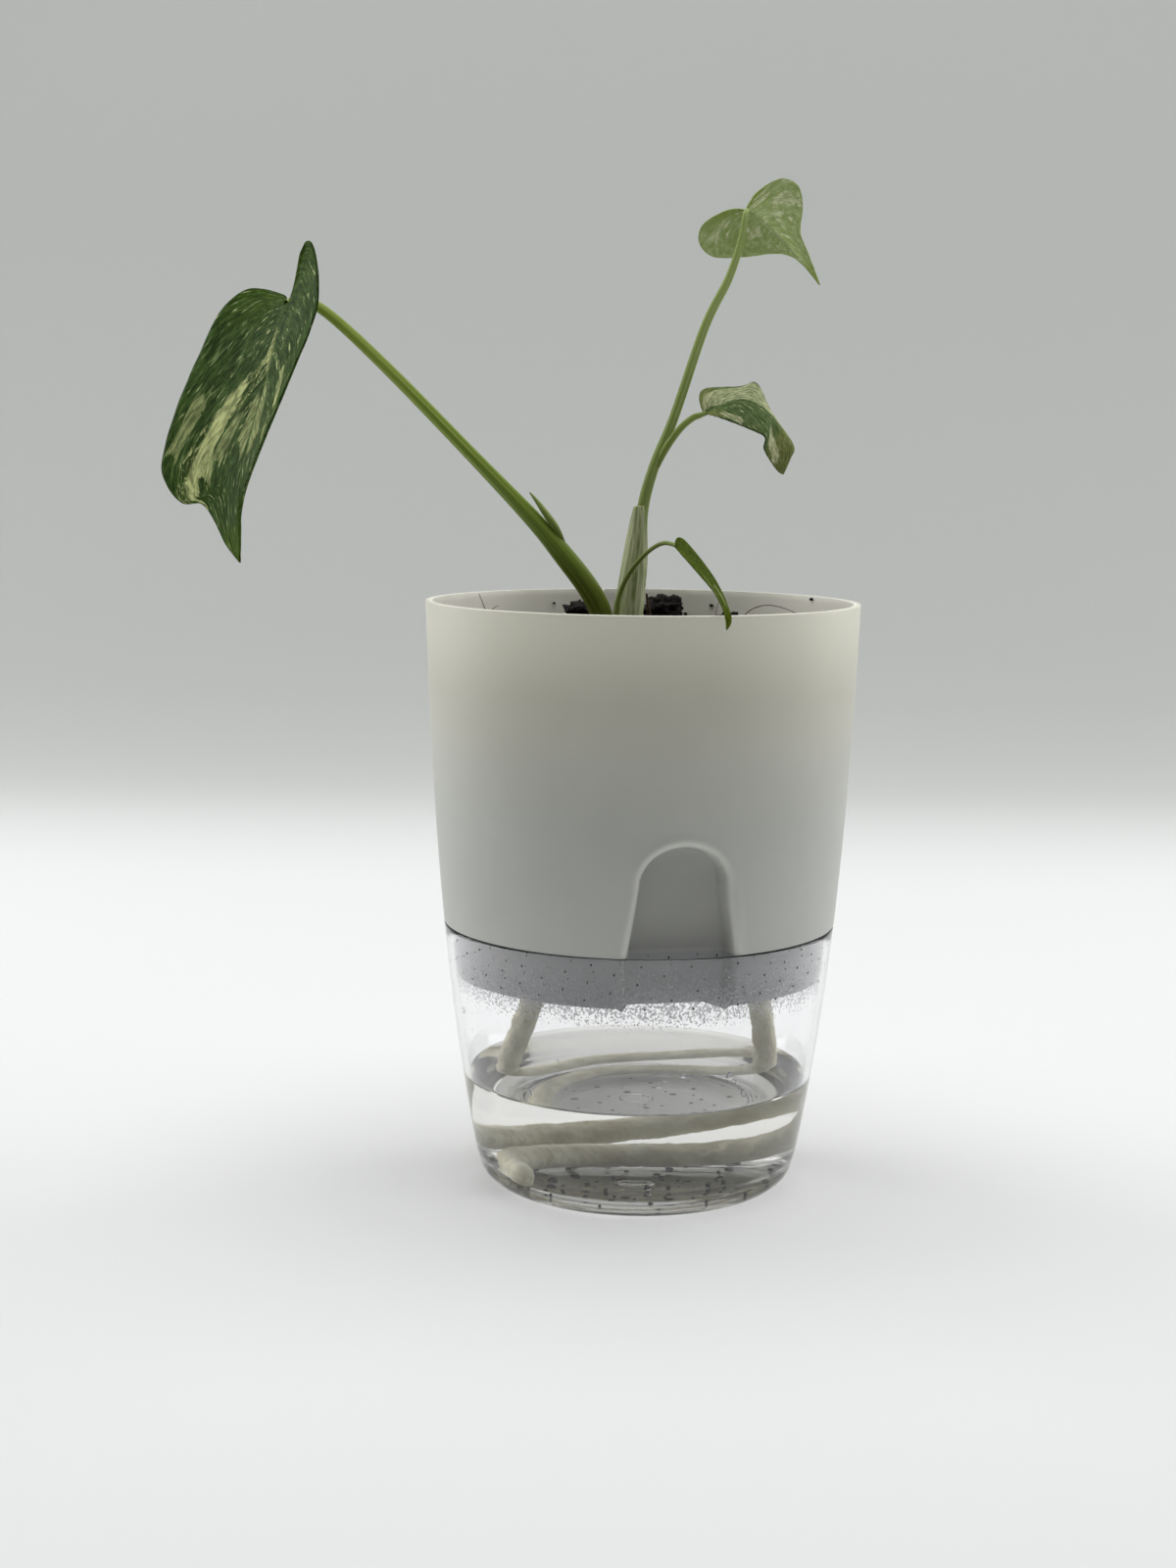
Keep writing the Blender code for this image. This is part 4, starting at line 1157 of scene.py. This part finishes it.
# %% Blades
def add_blade(name, curves, material, node, rows, columns, bow, pucker):
    """Rules both halves of a blade from a grid, then bows and puckers them."""
    midrib = curves["midrib"]
    fine = even_route(midrib, 6 * rows + 1)
    rib = [fine[round(6 * rows * (row / rows) ** 1.5)] for row in range(rows + 1)]
    left, right = (even_route([midrib[0]] + curves[side] + [midrib[-1]], rows + 1) for side in ("left", "right"))
    bm = bmesh.new()
    bm.loops.layers.uv.new("UVMap")
    made = bmesh.ops.create_grid(bm, x_segments=2 * columns, y_segments=rows, size=1.0, calc_uvs=True)["verts"]
    measures = {}
    for vert in made:
        signed, t = vert.co.x, (vert.co.y + 1.0) / 2.0
        row = round(t * rows)
        edge = left[row] if signed < 0 else right[row]
        vert.co = Vector(rib[row]).lerp(Vector(edge), abs(signed))
        measures[vert] = (signed, t)
    bm.normal_update()
    shifts = []
    for vert, (signed, t) in measures.items():
        out = abs(signed)
        belly = 4.0 * out * (1.0 - out) * math.sin(math.pi * min(1.0, t * 1.02)) ** 0.6
        wave = math.sin((t - 0.43 * out) * 13.0 * math.tau) * out ** 0.7
        shifts.append((vert, vert.normal * (bow * belly + pucker * wave * math.sin(math.pi * t))))
    for vert, shift in shifts:
        vert.co += shift
    bmesh.ops.remove_doubles(bm, verts=bm.verts, dist=0.004)
    piece = add_piece(name, bm, material, POT, [node], 60.0)
    thicken(piece, BLADE_THICKNESS)


LARGE_SKIN = make_blade("large_leaf_skin", shade(30, 48, 10), shade(62, 88, 34), shade(76, 104, 4),
                        shade(116, 136, 86), shade(206, 212, 146), 0.43, LARGE_STREAKS, 0.85, 0.86, 46.0)
HEART_SKIN = make_blade("heart_leaf_skin", shade(150, 168, 100), shade(178, 194, 132), shade(140, 160, 54),
                        shade(210, 216, 172), shade(236, 238, 200), 0.3, HEART_STREAKS, 0.9, 0.8, 30.0)
MIDDLE_SKIN = make_blade("middle_leaf_skin", shade(58, 78, 40), shade(92, 110, 66), shade(146, 148, 86),
                         shade(132, 146, 102), shade(210, 212, 168), 0.3, MIDDLE_STREAKS, 0.7, 0.7, 36.0)
SMALL_SKIN = make_blade("small_leaf_skin", shade(62, 78, 14), shade(88, 106, 28), shade(100, 118, 26),
                        shade(128, 144, 76), shade(186, 194, 136), 0.2, SMALL_STREAKS, 0.5, 0.84, 36.0)
add_blade("blade_large", LEAF_LARGE, LARGE_SKIN, "leaf_large", 150, 44, 1.2, 0.05)
add_blade("blade_heart", LEAF_HEART, HEART_SKIN, "leaf_heart", 110, 34, 0.5, 0.03)
add_blade("blade_middle", LEAF_MIDDLE, MIDDLE_SKIN, "leaf_middle", 110, 34, 0.3, 0.03)
add_blade("blade_small", LEAF_SMALL, SMALL_SKIN, "leaf_small", 110, 16, 0.1, 0.0)


# %% [markdown]
# ## The sheaths
#
# A pale papery scoop stands round the foot of the tall stalk, left over from
# when the leaf unrolled. It is a grid curled round the stalk, open at the back.

# %% Sheath skin
def make_sheath():
    finish = Finish("sheath")
    across = finish.split(finish.uv())
    along = across.other("Y")
    band = finish.grain(finish.join(across * 5.0, along * 1.6), 1.0, 3.0, 0.6, 0.4)
    line = finish.grain(finish.join(across * 48.0, along * 4.0), 1.0, 3.0, 0.6)
    base = finish.mix(line.ramp(0.3, 0.7), shade(172, 182, 126), shade(214, 218, 178))
    base = finish.mix(band.ramp(0.50, 0.60) * 0.8, base, shade(112, 132, 60))
    base = finish.mix((1.0 - along.ramp(0.0, 0.12)) * 0.35, base, shade(120, 118, 70))
    finish.normal(finish.bump(line, 0.4, 0.0003))
    return finish.surface(base, 0.5, Specular_IOR_Level=0.4, Subsurface_Weight=0.1,
                          Subsurface_Radius=(0.002, 0.002, 0.001))


SHEATH = make_sheath()


# %% Sheath
SHEATH_THICKNESS = 0.4


def add_sheath():
    bm = bmesh.new()
    bm.loops.layers.uv.new("UVMap")
    made = bmesh.ops.create_grid(bm, x_segments=40, y_segments=80, size=1.0, calc_uvs=True)["verts"]
    for vert in made:
        share, t = vert.co.x / 2.0, (vert.co.y + 1.0) / 2.0
        spread = math.radians(205.0 - 150.0 * t ** 2.2)
        radius = 3.6 - 1.2 * t + 0.05 * math.sin(share * 40.0)
        angle = -0.62 * math.pi + spread * share
        vert.co = Vector((-4.2 + 4.4 * t - 0.6 * t ** 2 + radius * math.cos(angle),
                          0.8 - 0.7 * t + radius * math.sin(angle), 131.0 + 30.3 * t))
    piece = add_piece("sheath_scoop", bm, SHEATH, POT, ["cataphyll"])
    thicken(piece, SHEATH_THICKNESS)


add_sheath()


# %% Dry strip
def make_dry_sheath():
    finish = Finish("dry_sheath")
    torn = finish.grain(finish.stretch(finish.place(), (3.0, 3.0, 0.6)), 500.0, 4.0, 0.7)
    colour = finish.mix(torn.ramp(0.35, 0.7), shade(42, 30, 20), shade(96, 74, 48))
    finish.normal(finish.bump(torn, 0.8, 0.0008))
    return finish.surface(colour, 0.85)


add_stalk("dry_strip", DRY_STRIP, make_dry_sheath(), "dry_sheath_strip", 16, 40, 0.5)


# %% [markdown]
# ## Mist, drops and grit
#
# Warm damp air has misted the cup's inner wall just under the skirt. A film
# turned close inside the wall shows only where its fine noise is dense. A few
# larger drops cling lower down, and grains of soil lie on the floor and wall.

# %% Mist and drops
MIST_DEPTH = 7.5


def make_drop():
    return Finish("water_drop").surface((0.97, 0.97, 1.0), 0.12, IOR=1.333, Transmission_Weight=1.0)


def hang_drop(bm, angle, height, size):
    """A flattened drop on the cup's inner wall."""
    radius = wall_radius(height) - CUP_WALL - 0.02
    made = bmesh.ops.create_icosphere(bm, subdivisions=3, radius=1.0)["verts"]
    out = Vector((math.cos(angle), math.sin(angle), 0.0))
    across = Vector((-out.y, out.x, 0.0))
    for vert in made:
        x, y, z = vert.co
        vert.co = out * (radius + x * size * 0.35) + across * (y * size) + Vector((0, 0, height + z * size * 1.1))


def make_mist_film():
    """Specks too fine to model: a film that fades out below the skirt and above its foot."""
    finish = Finish("mist_film")
    place = finish.place()
    height = finish.split(place).other("Z")
    speck = finish.grain(place, 1850.0, 2.0, 0.6)
    patch = finish.grain(place, 120.0, 2.0)
    foot = (SKIRT_BOTTOM - MIST_DEPTH) * MM
    edge = SKIRT_BOTTOM * MM
    thick = height.ramp(foot, edge) * (1.0 - height.ramp(edge, edge + 0.012) * 0.85)
    cut = 0.70 - 0.24 * thick - 0.10 * (patch - 0.5)
    film = (speck - cut).ramp(0.0, 0.05) * thick.ramp(0.02, 0.4)
    return finish.surface((0.54, 0.54, 0.56), 0.5, Alpha=film * 0.5)


def add_mist_film():
    bm = bmesh.new()
    levels = heights(SKIRT_BOTTOM - MIST_DEPTH - 0.5, SEAM - 2.0, 20)
    outer = [(wall_radius(z) - CUP_WALL - 0.05, z) for z in levels]
    inner = [(wall_radius(z) - CUP_WALL - 0.10, z) for z in reversed(levels)]
    turned(bm, outer + inner, 160, closed=True)
    add_piece("mist_film", bm, make_mist_film(), CUP, (), 80.0)


add_mist_film()


def add_drops():
    bm = bmesh.new()
    for angle, height, size in ((-1.45, 33.5, 0.7), (-1.05, 34.5, 1.0), (-1.32, 35.6, 0.6), (-2.2, 29.0, 0.8),
                                (-2.75, 44.0, 0.7), (-0.95, 30.0, 0.7), (-1.42, 34.6, 0.45), (-1.0, 32.8, 0.5),
                                (-2.0, 38.0, 0.35), (0.8, 36.0, 0.6), (1.9, 32.0, 0.5), (2.6, 40.0, 0.6)):
        hang_drop(bm, angle, height, size)
    add_piece("water_drops", bm, make_drop(), CUP, (), 80.0)


add_drops()


# %% Grit on the floor of the cup
def add_grit():
    bm = bmesh.new()
    for step, x, y in golden(150):
        if step % 2:
            continue
        x, y = x * 31.0 + 2.0 * math.sin(step), y * 31.0 + 2.0 * math.cos(step * 1.7)
        size = 0.22 + 0.42 * abs(noise.noise(Vector((step * 0.57, 1.0, 2.0)))) * 1.6
        dented(bm, (x, y, CUP_FLOOR + 0.25), (size * 1.5, size, 0.35), 2, step, 0.6)
    for angle, height in ((-1.5, 6.5), (-1.3, 8.5), (-1.75, 7.0), (-1.1, 7.6), (-2.1, 9.0), (-1.9, 6.6)):
        dented(bm, round_axis(wall_radius(height) - CUP_WALL - 0.6, angle, height), (0.3, 0.25, 0.2), 2, angle, 0.6)
    for step in range(420):
        share = (step * 0.618034) % 1.0
        height = SKIRT_BOTTOM + 14.0 * ((step * 0.754878) % 1.0) - (16.0 if step % 6 == 0 else 0.0)
        size = 0.09 + 0.08 * (step % 3)
        dented(bm, round_axis(wall_radius(height) - CUP_WALL - 0.06, math.tau * share, height),
               (size, size, size * 1.3), 1, step, 0.5)
    add_piece("floor_grit", bm, POTTING_MIX, CUP, (), 80.0)


add_grit()
